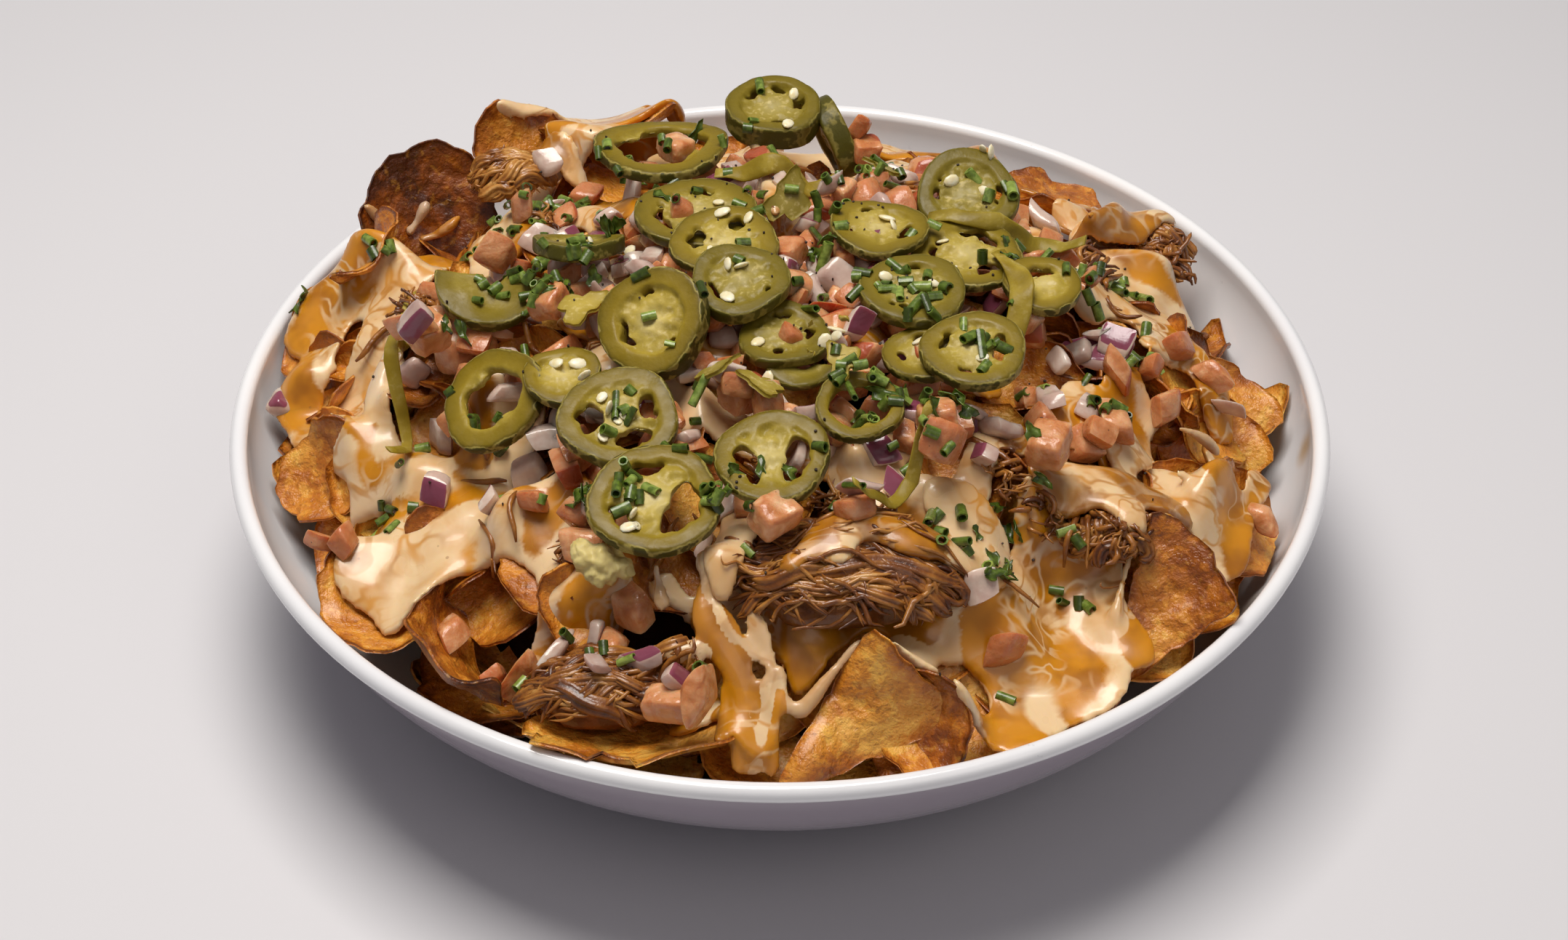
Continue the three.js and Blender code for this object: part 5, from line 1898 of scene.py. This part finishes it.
@dataclass
class Salsa:
    """Diced tomato and red onion: the large cubes of the CAD model and the small ones between."""

    relief: Relief
    ceiling: Floats

    def cube(self, template: Form, rng: Chance, size: Floats, onion: bool) -> Form:
        """One uneven cube, about its own middle.

        Args:
            template: A subdivided cube from -1 to 1.
            rng: Where its chance comes from.
            size: Its size along X, Y and Z.
            onion: True for onion, False for tomato.

        Returns:
            The cube, with its skin side as the value skin.
        """
        points = rounded(template, rng.uniform(5 if onion else 4.5, 8))
        shift = rng.uniform(0, 90, 3)
        points = points * (1 + 0.09 * ripple(points * 3 + shift, 3.6, 8))[:, None]
        shear = np.eye(3) + rng.normal(0, 0.2, (3, 3)) * (1 - np.eye(3))
        skin = step_between(0.7 if onion else 0.55, 1.0, template.points[:, 2 if onion else 0])
        points = (points @ shear.T) * size / 2 * (1 + rng.uniform(-0.16, 0.16, 3) * points[:, [1, 2, 0]])
        if onion:
            points[:, 2] += 0.035 * points[:, 0] ** 2
        return template.moved(points, skin=skin * (rng.random() < (0.4 if onion else 0.3)))

    def scatter(self) -> None:
        """Drops the small cubes over the heap, most of them in its middle."""
        rng = np.random.default_rng(23)
        template = Bench.cube(3)
        tomato, onion = Batch("tomato_cubes"), Batch("onion_cubes")
        spots = SALSA_SPOTS + tuple(
            (float(rng.normal(0, 36)), float(rng.normal(-6, 32)), "to"[int(rng.random() < 0.5)], 0)
            for _ in range(360)
        )
        for x, y, kind, large in spots:
            if math.hypot(x, y) > 96 and not large:
                continue
            is_onion = kind == "o"
            if is_onion:
                size = np.array([rng.uniform(5, 8.5), rng.uniform(4, 7.5), rng.uniform(2.2, 4)])
            else:
                size = np.array([rng.uniform(4.5, 9.5), rng.uniform(4.5, 8), rng.uniform(4, 7)])
            if large:
                size *= large * 0.95
            form = self.cube(template, rng, size, is_onion)
            normal = self.relief.slope(x, y) + rng.normal(0, 0.4 if large else 0.3, 3)
            points = form.points @ upright(normal, rng.uniform(0, 360)).T + np.array([x, y, 0])
            samples = form.moved(points).samples(2)
            lift = self.relief.lift_for(samples, sink=size.min() * 0.28, share=85)
            over = (samples[:, 2] + lift - self.ceiling[self.relief.cells(samples)]).max()
            too_high = samples[:, 2].max() + lift > HEAP.top(x, y) + 9
            if not large and (too_high or over >= 3.5):
                continue
            if over > 0.6:
                lift -= over - 0.6
            self.relief.add(samples + [0, 0, lift])
            (onion if is_onion else tomato).add(form.moved(points + [0, 0, lift]), tint=float(rng.random()))
        onion.build(Onion(), "onion", smooth=60)
        tomato.build(Tomato(), "tomato", smooth=60)

    def from_node(self, node: str, name: str, finish: Finish, scale: float, skin: float) -> None:
        """Makes a soft-edged cube of the CAD solid's own shape and place.

        Args:
            node: The CAD node.
            name: The piece's name.
            finish: What it is made of.
            scale: Its size, as a share of the solid's.
            skin: How much skin it has, from 0 to 1.
        """
        onion = node.startswith("onion")
        mesh = bpy.data.objects[node].data.copy()
        mesh.name = name
        piece = placed(name, mesh)
        with editing():
            bpy.ops.mesh.remove_doubles(threshold=1e-5)
        melt(piece, 0.75 * MM, 11)
        points = read_points(piece) / MM
        lumps = 0.8 * ripple(points, 4.6, 9) + 0.2 * ripple(points, 1.8, 10)
        points += read_points(piece, "normal") * lumps[:, None]
        base = points.mean(axis=0) - [0, 0, 1.5]
        points = base + (points - base) * scale - [0, 0, 5.0 * (node == "tomato_01")]
        write_points(piece, points)
        side = (points - points.mean(axis=0)) @ np.array([0, -0.3, 0.95] if onion else [0.5, 0.6, 0.6])
        write_values(piece, skin=step_between(0.55, 0.8, side / side.max()) * skin, tint=skin * 0.5)
        dress(piece, finish, node=node)
        self.relief.add(points)

    def build(self) -> None:
        """Makes all the cubes."""
        for number in range(1, 11):
            name, scale = f"tomato_chunk_{number:02d}", 0.62 if number == 1 else 0.78
            self.from_node(f"tomato_{number:02d}", name, Tomato(), scale, float(number % 4 == 1))
        self.from_node("onion_on_wall", "onion_chunk", Onion(), 0.95, 1.0)
        self.scatter()


@dataclass(frozen=True)
class PepperSlice:
    """A slice across a pickled pepper: its skin and flesh, the ribs and the seed core."""

    radius: float
    thickness: float
    chambers: int = 3
    span: float = 360.0
    wall: float = 0.33
    openings: Rows = ()
    voxel: float = 0.55
    seed: int = 0

    def usual(self) -> Rows:
        """Openings spread evenly: the direction, half the angle and the depth of each."""
        return tuple(
            (
                360 * k / self.chambers + 14 * math.sin(1.7 * self.seed + 2.3 * k),
                180 / self.chambers * (0.52 + 0.22 * math.sin(3 * self.seed + 1.9 * k)),
                0.2 + 0.1 * math.sin(2.1 * self.seed + k),
            )
            for k in range(self.chambers)
        )

    def outline(self, turn: Floats) -> Floats:
        """Radius of the skin in some directions."""
        uneven = 1 + 0.035 * np.sin(3 * turn + self.radius) + 0.012 * np.sin(5 * turn + self.seed)
        return self.radius * uneven

    def ragged(self, turn: Floats, amount: float) -> Floats:
        """Uneven factor for a torn inner edge."""
        return 1 + amount * (np.sin(5 * turn + self.seed) + 0.6 * np.sin(11 * turn + 2 * self.seed)) / 1.6

    @staticmethod
    def around(size: Floats, angle: Floats) -> Floats:
        """Points in the plane, at some distances in some directions."""
        return np.column_stack([size * np.cos(angle), size * np.sin(angle)])

    def opening(self, middle: float, reach: float, deep: float) -> Floats:
        """The outline of one opening.

        Args:
            middle: Its direction, in degrees.
            reach: Half its angle, in degrees.
            deep: Its depth, as a share of the radius.

        Returns:
            The points of the outline.
        """
        middle, reach = math.radians(middle), math.radians(reach)
        far = np.linspace(-reach, reach, 13)
        angle = middle + np.concatenate([far, np.linspace(reach * 0.66, -reach * 0.66, 7)])
        swell = 0.9 + 0.1 * np.cos(far / reach * math.pi / 2)
        outer = self.outline(middle + far) * (1 - self.wall) * swell
        size = np.concatenate([outer, np.full(7, self.radius * (1 - self.wall - deep))])
        loop = self.around(size * self.ragged(angle * 2, 0.1), angle)
        for _ in range(2):
            after = np.roll(loop, -1, axis=0)
            loop = np.stack([loop * 0.75 + after * 0.25, loop * 0.25 + after * 0.75], axis=1).reshape(-1, 2)
        return loop[::-1]

    def loops(self) -> list[Floats]:
        """The outline of the slice and of each opening in it."""
        if self.span < 360:
            half = math.radians(self.span / 2)
            turn = np.linspace(-half, half, 40)
            outer = self.outline(turn)
            inner = outer * (1 - self.wall) * self.ragged(turn, 0.03)
            return [self.around(np.concatenate([outer, inner[::-1]]), np.concatenate([turn, turn[::-1]]))]
        turn = np.linspace(0, 2 * math.pi, 72, endpoint=False)
        outer = self.outline(turn)
        found = [self.around(outer, turn)]
        if self.chambers == 0:
            inner = outer * (1 - self.wall) * self.ragged(turn, 0.05)
            torn = np.exp(-(((turn * 2 + self.seed) % (2 * math.pi) - math.pi) ** 2) / 0.5)
            found.append(self.around(inner * (1 - 0.24 * torn), turn)[::-1])
        return found + [self.opening(*row) for row in self.openings or self.usual()]

    def flat(self) -> Form:
        """The slice cut from an even sheet, with soft edges."""
        edge = min(0.32, self.thickness * 0.16)
        curve = bpy.data.curves.new("slice", "CURVE")
        curve.dimensions, curve.fill_mode = "2D", "BOTH"
        curve.extrude = self.thickness / 2 - edge
        curve.bevel_depth, curve.bevel_resolution = edge, 2
        curve.offset = -edge
        for loop in self.loops():
            spline = curve.splines.new("POLY")
            spline.points.add(len(loop) - 1)
            spline.points.foreach_set("co", columns(loop, 0, 1).ravel())
            spline.use_cyclic_u = True
        placed("slice", curve)
        bpy.ops.object.convert(target="MESH")
        piece = bpy.context.object
        melt(piece, self.voxel, 2)
        return Bench.take(piece)

    def form(self) -> Form:
        """The slice about its own middle, with lumpy flesh that sinks in between skin and core."""
        form = self.flat()
        points = form.points
        turn = np.arctan2(points[:, 1], points[:, 0])
        rind = np.hypot(points[:, 0], points[:, 1]) / self.outline(turn)
        shift = np.array([self.seed * 31.0, self.seed * 17.0, 0.0])
        inside = step_between(1.06 - self.wall, 0.96 - self.wall, rind)
        points[:, 2] *= 1 - 0.36 * inside
        lumps = 0.7 * ripple(points + shift, 2.2, 20) + 0.35 * ripple(points + shift, 1.1, 22)
        points[:, 2] += np.sign(points[:, 2]) * inside * lumps
        points += form.normals() * (0.16 * ripple(points + shift, 3.4, 21))[:, None]
        saddle = (points[:, 0] ** 2 - points[:, 1] ** 2) / self.radius**2
        points[:, 2] += 0.7 * math.sin(self.seed * 2.1) * saddle
        if self.span < 360:
            points[:, 2] += 0.012 * points[:, 1] ** 2 + 1.1 * ripple(points + shift, 7, 24)
            rind = np.maximum(rind, 0.8 * self.wall + 0.05 * ripple(points + shift, 4, 23))
        return form.moved(points, rind=rind)


# Slices of pickled pepper: shape and pose, as their CAD solids.
PEPPER_SLICES: tuple[tuple[PepperSlice, Pose], ...] = (
    (PepperSlice(8.5, 3, 3), Pose(-35, -85, 77, 22, 262)),
    (PepperSlice(15, 2.6, 3), Pose(-20, 16, 100.2, 2, 90)),
    (PepperSlice(13, 2.4, 3), Pose(-13, -1, 103.6, 3, 270, 25)),
    (PepperSlice(13.5, 2.4, 3), Pose(45, 3, 97.2, 4, 300)),
    (PepperSlice(12, 2.6, 3), Pose(23.6, 8, 101.5, 5, 40, 50)),
    (PepperSlice(9.5, 2.4, 3), Pose(33, -35.4, 97, 8, 200)),
    (PepperSlice(9, 2.2, 3, 150, 0.7), Pose(5, -38, 97, 8, 270)),
    (PepperSlice(9, 2.4, 3, openings=((60, 22, 0.08), (200, 25, 0.1))), Pose(-50, -36, 91, 8, 250, 40)),
    (PepperSlice(10, 2.6, 0), Pose(17.6, -54, 96.2, 10, 280)),
    (PepperSlice(10.5, 2.8, 4), Pose(1, -32, 99.2, 5, 250, 20)),
    (PepperSlice(11, 4, 3, openings=((270, 38, 0.34), (90, 28, 0.1), (180, 26, 0.1))),
     Pose(-48, 3.5, 99.5, 28, 90)),
    (PepperSlice(15, 3.4, 3, 170, 0.82), Pose(-68, 0, 93, 20, 262)),
    (PepperSlice(13, 3.2, 0, wall=0.42), Pose(-66, -36, 84, 34, 222)),
    (PepperSlice(17, 3, 0), Pose(-30, 50, 96.6, 10, 92)), (PepperSlice(11, 6, 3), Pose(14, 63, 91.5, 72, 20)),
    (PepperSlice(12.5, 4.2, 3, openings=((228, 42, 0.12), (68, 42, 0.12), (323, 24, 0.1))),
     Pose(46, 26, 99, 22, 272, 30)),
    (PepperSlice(12.5, 3.2, 3, openings=((180, 46, 0.1), (330, 36, 0.12))), Pose(31, -16.5, 101, 3, 270, 10)),
    (PepperSlice(9.5, 3, 3, wall=0.4, openings=((150, 54, 0.3),)), Pose(62, -8.5, 96.6, 8, 310)),
    (PepperSlice(11.5, 3.6, 3, openings=((125, 30, 0.12), (240, 34, 0.14), (0, 30, 0.12))),
     Pose(-9, -19.7, 105.6, 9, 265, 60)),
    (PepperSlice(11, 3.2, 3, openings=((152, 58, 0.13), (332, 58, 0.13))),
     Pose(11.3, -39, 104.6, 9, 258, 40)),
    (PepperSlice(12, 3, 3, openings=((110, 42, 0.3), (260, 32, 0.14), (0, 28, 0.14))),
     Pose(44, -39.7, 101, 7, 250)),
    (PepperSlice(12.8, 3, 3, openings=((310, 50, 0.42), (100, 60, 0.42))), Pose(-1.6, -70, 94.6, 12, 250)),
    (PepperSlice(13.6, 3.4, 3, openings=((243, 36, 0.42), (358, 36, 0.34), (78, 28, 0.3))),
     Pose(-36, -54.5, 93.4, 15, 272, 30)),
    (PepperSlice(13, 6, 3, wall=0.38, openings=((194, 34, 0.12), (304, 38, 0.14), (64, 34, 0.12))),
     Pose(-28.6, -30, 101.5, 38, 236, 20)),
    (PepperSlice(14.6, 3.2, 3, wall=0.3, openings=((147, 34, 0.2), (17, 62, 0.46), (252, 28, 0.2))),
     Pose(-27, -79.5, 90.5, 13, 268, 55)),
    (PepperSlice(12.2, 6.5, 3, openings=((195, 24, 0.2), (135, 20, 0.18), (70, 24, 0.22), (350, 26, 0.2))),
     Pose(-2, 61, 100.5, 4, 285, 15)),
)


@dataclass
class PickledPeppers:
    """All the slices of pepper, with the loose strips and seeds that lie among them."""

    relief: Relief
    # the middle line of each strip and half its width
    strip_rows: tuple[tuple[Rows, float], ...] = (
        (((-88, 14), (-90, 4), (-90, -6), (-90, -17), (-92, -23), (-88, -29), (-88, -36), (-91, -41)), 1.8),
        (((34, -60), (29, -68), (26, -74), (21, -79), (16, -83)), 1.7), (((-16, 34), (2, 30), (14, 34)), 2.6),
        (((36, 16), (52, 12), (64, 16), (74, 12)), 2.6), (((52, 2), (58, -14), (52, -28)), 3.0),
    )
    # the place and the size of each torn flake
    flakes: Rows = ((2, 20, 6.5), (-14, -46, 5.5), (-46, -20, 6), (14, -46, 5), (26, 40, 5), (-4, -52, 5))

    def ceiling(self) -> Floats:
        """The underside of all the slices over the grid, or 999 where there is none."""
        grid = np.full(self.relief.heights.shape, 999.0)
        for shape, pose in PEPPER_SLICES:
            out = np.sqrt(np.linspace(0.3, 1, 24)) * shape.radius
            half = math.radians(shape.span / 2)
            inner = 0.7 if shape.chambers == 0 else 0.0
            r, t = np.meshgrid(out[out >= inner * shape.radius], np.linspace(-half, half, 90))
            points = pose.apply(columns(shape.around(r.ravel(), t.ravel()), -shape.thickness / 2))
            np.minimum.at(grid, self.relief.cells(points), points[:, 2])
        return grid

    def build(self) -> list[tuple[Pose, PepperSlice]]:
        """Makes one piece for each slice, and the strips."""
        rng = np.random.default_rng(77)
        for index, (shape, pose) in enumerate(PEPPER_SLICES):
            form = replace(shape, seed=index + 1).form()
            form = form.moved(pose.apply(form.points))
            batch = Batch(f"slice_{index + 1:02d}")
            batch.add(form, tint=float(rng.random()))
            batch.build(Pepper(), "pepper", node=f"pepper_{index + 1:02d}")
            self.relief.add(form.samples(1))
        self.strips(rng)
        self.pulp()
        return [(pose, shape) for shape, pose in PEPPER_SLICES]

    def strips(self, rng: Chance) -> None:
        """Lays long curled strips of pepper skin and flesh, and torn flakes, over the heap.

        Args:
            rng: Where their chance comes from.
        """
        batch = Batch("pepper_strips")
        for corners, width in self.strip_rows:
            plan = smooth_path(corners, 22)
            path = columns(plan, 0)
            height = np.maximum(self.relief.under(path), HEAP.top(plan[:, 0], plan[:, 1]) - 1.5)
            height = np.maximum.reduce([np.roll(height, k) for k in (-1, 0, 1)])
            path[:, 2] = averaged(height, 2) + 0.4
            share = np.linspace(0, 1, 22)
            path[:, 2] += 0.8
            up = columns(0.5 * np.sin(9 * share), 0.3 * np.cos(7 * share) - 0.5, 0.9)
            strip = swept(path, width * (0.5 + 0.5 * np.sin(np.linspace(0.25, 2.9, 22))), 14, up, 0.24)
            points = strip.points + 0.4 * np.column_stack([ripple(strip.points, 5, k) for k in (31, 32, 33)])
            batch.add(strip.moved(points), rind=0.66 + 0.2 * ripple(points, 4, 34), tint=float(rng.random()))
        disc = Bench.disc(6, 28)
        for row in self.flakes:
            batch.add(self.flake(disc, rng, *row), tint=float(rng.random()))
        self.relief.add(np.concatenate(batch.points))
        batch.build(Pepper(), "pepper")

    def flake(self, disc: Form, rng: Chance, x: float, y: float, size: float) -> Form:
        """A torn flake of pepper flesh lying on what is there.

        Args:
            disc: A flat disc with a radius of 1.
            rng: Where its chance comes from.
            x: Where it lies.
            y: Where it lies.
            size: Its radius.

        Returns:
            The flake in place.
        """
        across, along = disc.points[:, 0], disc.points[:, 1]
        turn, out = np.arctan2(along, across), np.hypot(across, along)
        phase = rng.uniform(0, 6, 3)
        lobes = 1 + out**2 * (0.25 * np.sin(3 * turn + phase[0]) + 0.12 * np.sin(7 * turn + phase[1]))
        flat = disc.points * (lobes * size)[:, None] * [1, 0.7, 1]
        flat[:, 2] = 0.8 * ripple(flat + phase * 11, 5, 42)
        form = thickened(disc.moved(flat), 0.9, out)
        stand = upright(self.relief.slope(x, y, 6), float(phase[2] * 60))
        points = form.points @ stand.T + np.array([x, y, 0])
        lift = self.relief.lift_for(points, 0.6, 92)
        return Form(points + [0, 0, lift], form.faces, {"rind": 0.3 + 0.3 * form.values["edge"]})

    def pulp(self) -> None:
        """The crumbly seed core that has come loose from the slice at the front."""
        rng = np.random.default_rng(52)
        ball = Bench.ball(14, 10)
        batch = Batch("pepper_pulp")
        for index in range(34):
            way = rng.normal(0, 1, 3)
            way /= np.linalg.norm(way)
            size = rng.uniform(1.3, 2.4) if index else 4.2
            lumps = size * (1 + 0.22 * ripple(ball.points * 10 + 40 * way, 6, 51))[:, None]
            points = ball.points * lumps + way * [6.4, 4.2, 3.6] * (rng.uniform(0.6, 1) if index else 0.0)
            batch.add(ball.moved(points @ turned(24, "x").T + np.array([-39, -88.5, 80.5])))
        piece = batch.build(Pepper(), "pepper")
        melt(piece, 0.45 * MM, 2, use_smooth_shade=True)
        points = read_points(piece) / MM
        grain = 0.1 * ripple(points, 1.5, 54) + 0.06 * ripple(points, 0.8, 55)
        points += (points - points.mean(axis=0)) * grain[:, None]
        write_points(piece, points)
        write_values(piece, rind=0.02 + 0.12 * ripple(points, 3, 53))
        self.relief.add(points)


# Where chives lie thickest: x, y, spread and how many.
CHIVE_CLUSTERS: tuple[tuple[float, float, float, int], ...] = (
    (-55, 44, 6, 16), (-71, 34, 4, 8), (-66, -3, 6, 14), (-55, -9, 5, 12), (17, -52, 5, 14), (25, -47, 4, 10),
    (30, -19, 5, 14), (67, 2, 4, 9), (86, 27, 4, 9), (87, -7, 4, 6), (39, -78, 5, 7), (63, -74, 4, 6),
    (-33, -76, 5, 9), (-12, -82, 4, 9), (-92, -46, 5, 7), (79, 6, 3, 5), (-30, 52, 6, 8), (10, 12, 8, 8),
    (45, -40, 5, 8), (-66, -40, 4, 6), (-36, -56, 4, 5), (-58, 22, 6, 8), (56, -106, 5, 3), (-40, -104, 8, 5),
    (-12, -118, 3, 2), (30, -64, 6, 7), (24, 38, 8, 8), (50, 26, 4, 4), (76, -36, 6, 6), (-100, 32, 3, 4),
)
LEAF_SPOTS: Rows = (
    (-44, -73), (-42, -70), (47, -89), (48, -84), (45, -80), (-66, -45), (-79, -17), (-77, -14), (40, -56),
    (44, -60), (38, -62), (-60, -1), (-48, -8), (-54, -12), (0, -78), (-6, -76), (20, -50), (-34, 52),
    (-22, 56), (50, -66), (58, -62), (-64, 4), (82, -6), (-28, 20), (8, 0), (-40, 8), (56, 2), (26, -46),
    (-120, 29), (-55, 46),
)


@dataclass
class Garnish:
    """What is strewn on last: chives, torn leaves, pepper seeds and ground pepper."""

    relief: Relief

    def laid(self, form: Form, x: float, y: float, normal: Floats, spin: float, sink: float) -> Form:
        """Puts a small form down on the surface and keeps it there.

        Args:
            form: The piece about its own middle, lying flat.
            x: Where it goes.
            y: Where it goes.
            normal: The way its Z points.
            spin: Its turn, in degrees.
            sink: How far it settles in.

        Returns:
            The form in place.
        """
        points = form.points @ upright(normal, spin).T + np.array([x, y, 0])
        points = points + [0, 0, self.relief.lift_for(points, sink, 70)]
        self.relief.add(points)
        return form.moved(points)

    def chives(self) -> None:
        """Short cut tubes, in clusters and here and there."""
        rng = np.random.default_rng(8)
        batch = Batch("cut_chives")
        tube = Bench.tube(8, 0.3)
        on_side = tube.points @ turned(90, "y").T
        spots = [
            (rng.normal(x, spread * 0.8), rng.normal(y, spread * 0.8))
            for x, y, spread, count in CHIVE_CLUSTERS
            for _ in range(count)
        ]
        spots += [(rng.normal(0, 44), rng.normal(-10, 44)) for _ in range(90)]
        for x, y in spots:
            if math.hypot(x, y) > 122:
                continue
            radius = rng.uniform(0.95, 1.5)
            length = rng.choice([2.4, 3.4, 4.4, 7.5], p=[0.3, 0.4, 0.23, 0.07])
            points = on_side * np.array([length, radius, radius * rng.uniform(0.7, 1.0)])
            points[:, 2] += 0.02 * points[:, 0] ** 2 * rng.uniform(-1, 1)
            normal = self.relief.slope(x, y, 2.5) + rng.normal(0, 0.45, 3) * [1, 1, 0.3]
            form = self.laid(tube.moved(points), x, y, normal, rng.uniform(0, 360), radius * 0.35)
            batch.add(form, tint=tone(rng, 0.45, 0.25))
        batch.build(Chive(), "pepper", smooth=50)

    def leaves(self) -> None:
        """Crumpled bits of dark green leaf, and a stalk or two."""
        rng = np.random.default_rng(9)
        batch = Batch("torn_leaves")
        disc = Bench.disc(3, 14)
        x, y = disc.points[:, 0], disc.points[:, 1]
        turn, out = np.arctan2(y, x), np.hypot(x, y)
        for at_x, at_y in LEAF_SPOTS:
            for _ in range(int(rng.integers(1, 4))):
                phase = rng.uniform(0, 6, 3)
                lobes = 1 + 0.28 * np.sin(3 * turn + phase[0]) + 0.16 * np.sin(5 * turn + phase[1])
                flat = columns(x * lobes * rng.uniform(1.9, 3.6), y * lobes * rng.uniform(0.9, 1.8), 0)
                flat[:, 2] = 0.9 * ripple(flat + phase * 9, 2.6, 41)
                flat[:, 2] += 0.6 * out**2 * np.sin(3 * turn + phase[2])
                leaf = thickened(disc.moved(flat), 0.32, out)
                spot = (at_x + rng.normal(0, 2.2), at_y + rng.normal(0, 2.2))
                normal = self.relief.slope(*spot) + rng.normal(0, 0.35, 3)
                form = self.laid(leaf, *spot, normal, rng.uniform(0, 360), 0.4)
                batch.add(form, tint=float(rng.uniform(0, 0.4)))
        batch.build(Chive(), "pepper")

    def seeds(self, slices: Sequence[tuple[Pose, PepperSlice]]) -> None:
        """Flat pale seeds, in the slices' chambers and strewn about.

        Args:
            slices: The pose and the shape of each slice.
        """
        rng = np.random.default_rng(10)
        batch = Batch("pepper_seeds")
        ball = Bench.ball(9, 6)
        spots: list[tuple[float, float]] = []
        for pose, shape in slices:
            for _ in range(int(rng.integers(0, 3)) if shape.chambers else 0):
                turn, out = rng.uniform(0, 6.28), rng.uniform(0.25, 0.62) * shape.radius
                place = pose.apply(np.array([[out * math.cos(turn), out * math.sin(turn), 0.0]]))[0]
                spots.append((place[0], place[1]))
        spots += [(rng.normal(0, 40), rng.normal(-12, 36)) for _ in range(12)]
        spots += [(36, 34), (50, 36), (52, 35), (-38, -54), (-36, -56), (-34, -55), (-44, -44), (2, 52)]
        for x, y in spots:
            if math.hypot(x, y) > 110:
                continue
            points = ball.points * (np.array([1.9, 1.35, 0.5]) * rng.uniform(0.75, 1.25))
            points[:, 0] += 0.12 * points[:, 1] ** 2
            normal = self.relief.slope(x, y, 2.5) + rng.normal(0, 0.3, 3)
            batch.add(self.laid(ball.moved(points), x, y, normal, rng.uniform(0, 360), 0.25))
        batch.build(Seed(), "pepper")

    def ground_pepper(self) -> None:
        """Fine dark specks over everything."""
        rng = np.random.default_rng(11)
        batch = Batch("ground_pepper")
        ball = Bench.ball(5, 3)
        for _ in range(190):
            x, y = rng.normal(0, 52), rng.normal(-10, 48)
            if math.hypot(x, y) > 118:
                continue
            points = ball.points * rng.uniform(0.22, 0.5, 3)
            batch.add(self.laid(ball.moved(points), x, y, np.array([0, 0, 1.0]), rng.uniform(0, 360), 0.1))
        batch.build(Peppercorn(), "pepper", smooth=20)

    def build(self, slices: Sequence[tuple[Pose, PepperSlice]]) -> None:
        """Strews everything.

        Args:
            slices: The pose and the shape of each slice of pepper.
        """
        self.seeds(slices)
        self.leaves()
        self.chives()
        self.ground_pepper()


# ---------- the setting ----------
@dataclass(frozen=True)
class Studio:
    """A pale floor, soft lights and the camera at the diner's side."""

    aim: tuple[float, float, float] = (0.001, 0.0, 0.0326)
    distance: float = 0.68
    elevation: float = 40.0
    lens: float = 61.54

    def floor(self) -> None:
        """A wide plain floor just under the bowl."""
        bpy.ops.object.select_all(action="DESELECT")
        bpy.ops.mesh.primitive_plane_add(size=6)
        ground = bpy.context.object
        ground.name = "floor"
        ground.data.materials.append(Tabletop().material())

    def light(self, name: str, place: Sequence[float], size: float, power: float, colour: str) -> None:
        """Adds a square soft light that faces the bowl.

        Args:
            name: Its name.
            place: Where it hangs, in metres.
            size: The side of the square, in metres.
            power: Its power, in watts.
            colour: Its sRGB code.
        """
        lamp = bpy.data.lights.new(name, "AREA")
        lamp.shape, lamp.size, lamp.energy = "SQUARE", size, power
        lamp.color = ink(colour)[:3]
        holder = placed(name, lamp)
        holder.location = place
        aim = Vector((0, 0, 0.05)) - Vector(place)
        holder.rotation_euler = aim.to_track_quat("-Z", "Y").to_euler()

    def camera(self) -> None:
        """The camera, looking down at the bowl from the front."""
        rise = math.radians(self.elevation)
        back = Vector((0, -math.cos(rise), math.sin(rise)))
        view = bpy.data.cameras.new("camera")
        view.lens, view.sensor_width, view.clip_start = self.lens, 36, 0.01
        holder = placed("camera", view)
        holder.location = Vector(self.aim) + back * self.distance
        holder.rotation_euler = (math.radians(90 - self.elevation), 0, 0)
        bpy.context.scene.camera = holder

    def build(self) -> None:
        """Sets everything up."""
        world = bpy.data.worlds.new("studio")
        world.use_nodes = True
        sky = world.node_tree.nodes["Background"]
        sky.inputs["Color"].default_value = (0.96, 0.95, 1.0, 1.0)
        sky.inputs["Strength"].default_value = 0.18
        bpy.context.scene.world = world
        bpy.context.scene.view_settings.view_transform = "Standard"
        self.floor()
        self.light("key", (-0.1, 0.08, 1.0), 0.5, 9.7, "fffaf4")
        self.light("fill", (0.5, -0.7, 0.9), 0.6, 1.0, "fff6ee")
        self.camera()


def main() -> None:
    """Builds the nachos in their bowl and the setting round them."""
    logging.basicConfig(level=logging.INFO, format="%(message)s")
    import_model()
    Studio().build()
    relief = Relief()
    Bowl().build()
    heap = CrispHeap(relief)
    heap.build()
    rows = [Stroke(CREAM, *row) for row in CREAM_STROKES] + [Stroke(CHEESE, *row) for row in CHEESE_STROKES]
    strands = [Strand(*row) for row in STRANDS]
    SauceCoat(relief, rows, strands).build((("sauce_near", -999, 2), ("sauce_far", -2, 999)))
    heap.shards("crisp_edges", SHARDS)
    meat = ShreddedMeat(relief)
    meat.build()
    drizzle = [Stroke(*row) for row in TOP_STROKES]
    over_meat = SauceCoat(relief, drizzle, steps=60, bridge=4, body=1.5, glaze=0.8)
    over_meat.build((("sauce_over_meat", -999, 999),))
    meat.fringe("front", 34, -8)
    peppers = PickledPeppers(relief)
    Salsa(relief, peppers.ceiling()).build()
    slices = peppers.build()
    Garnish(relief).build(slices)


if __name__ == "__main__":
    main()
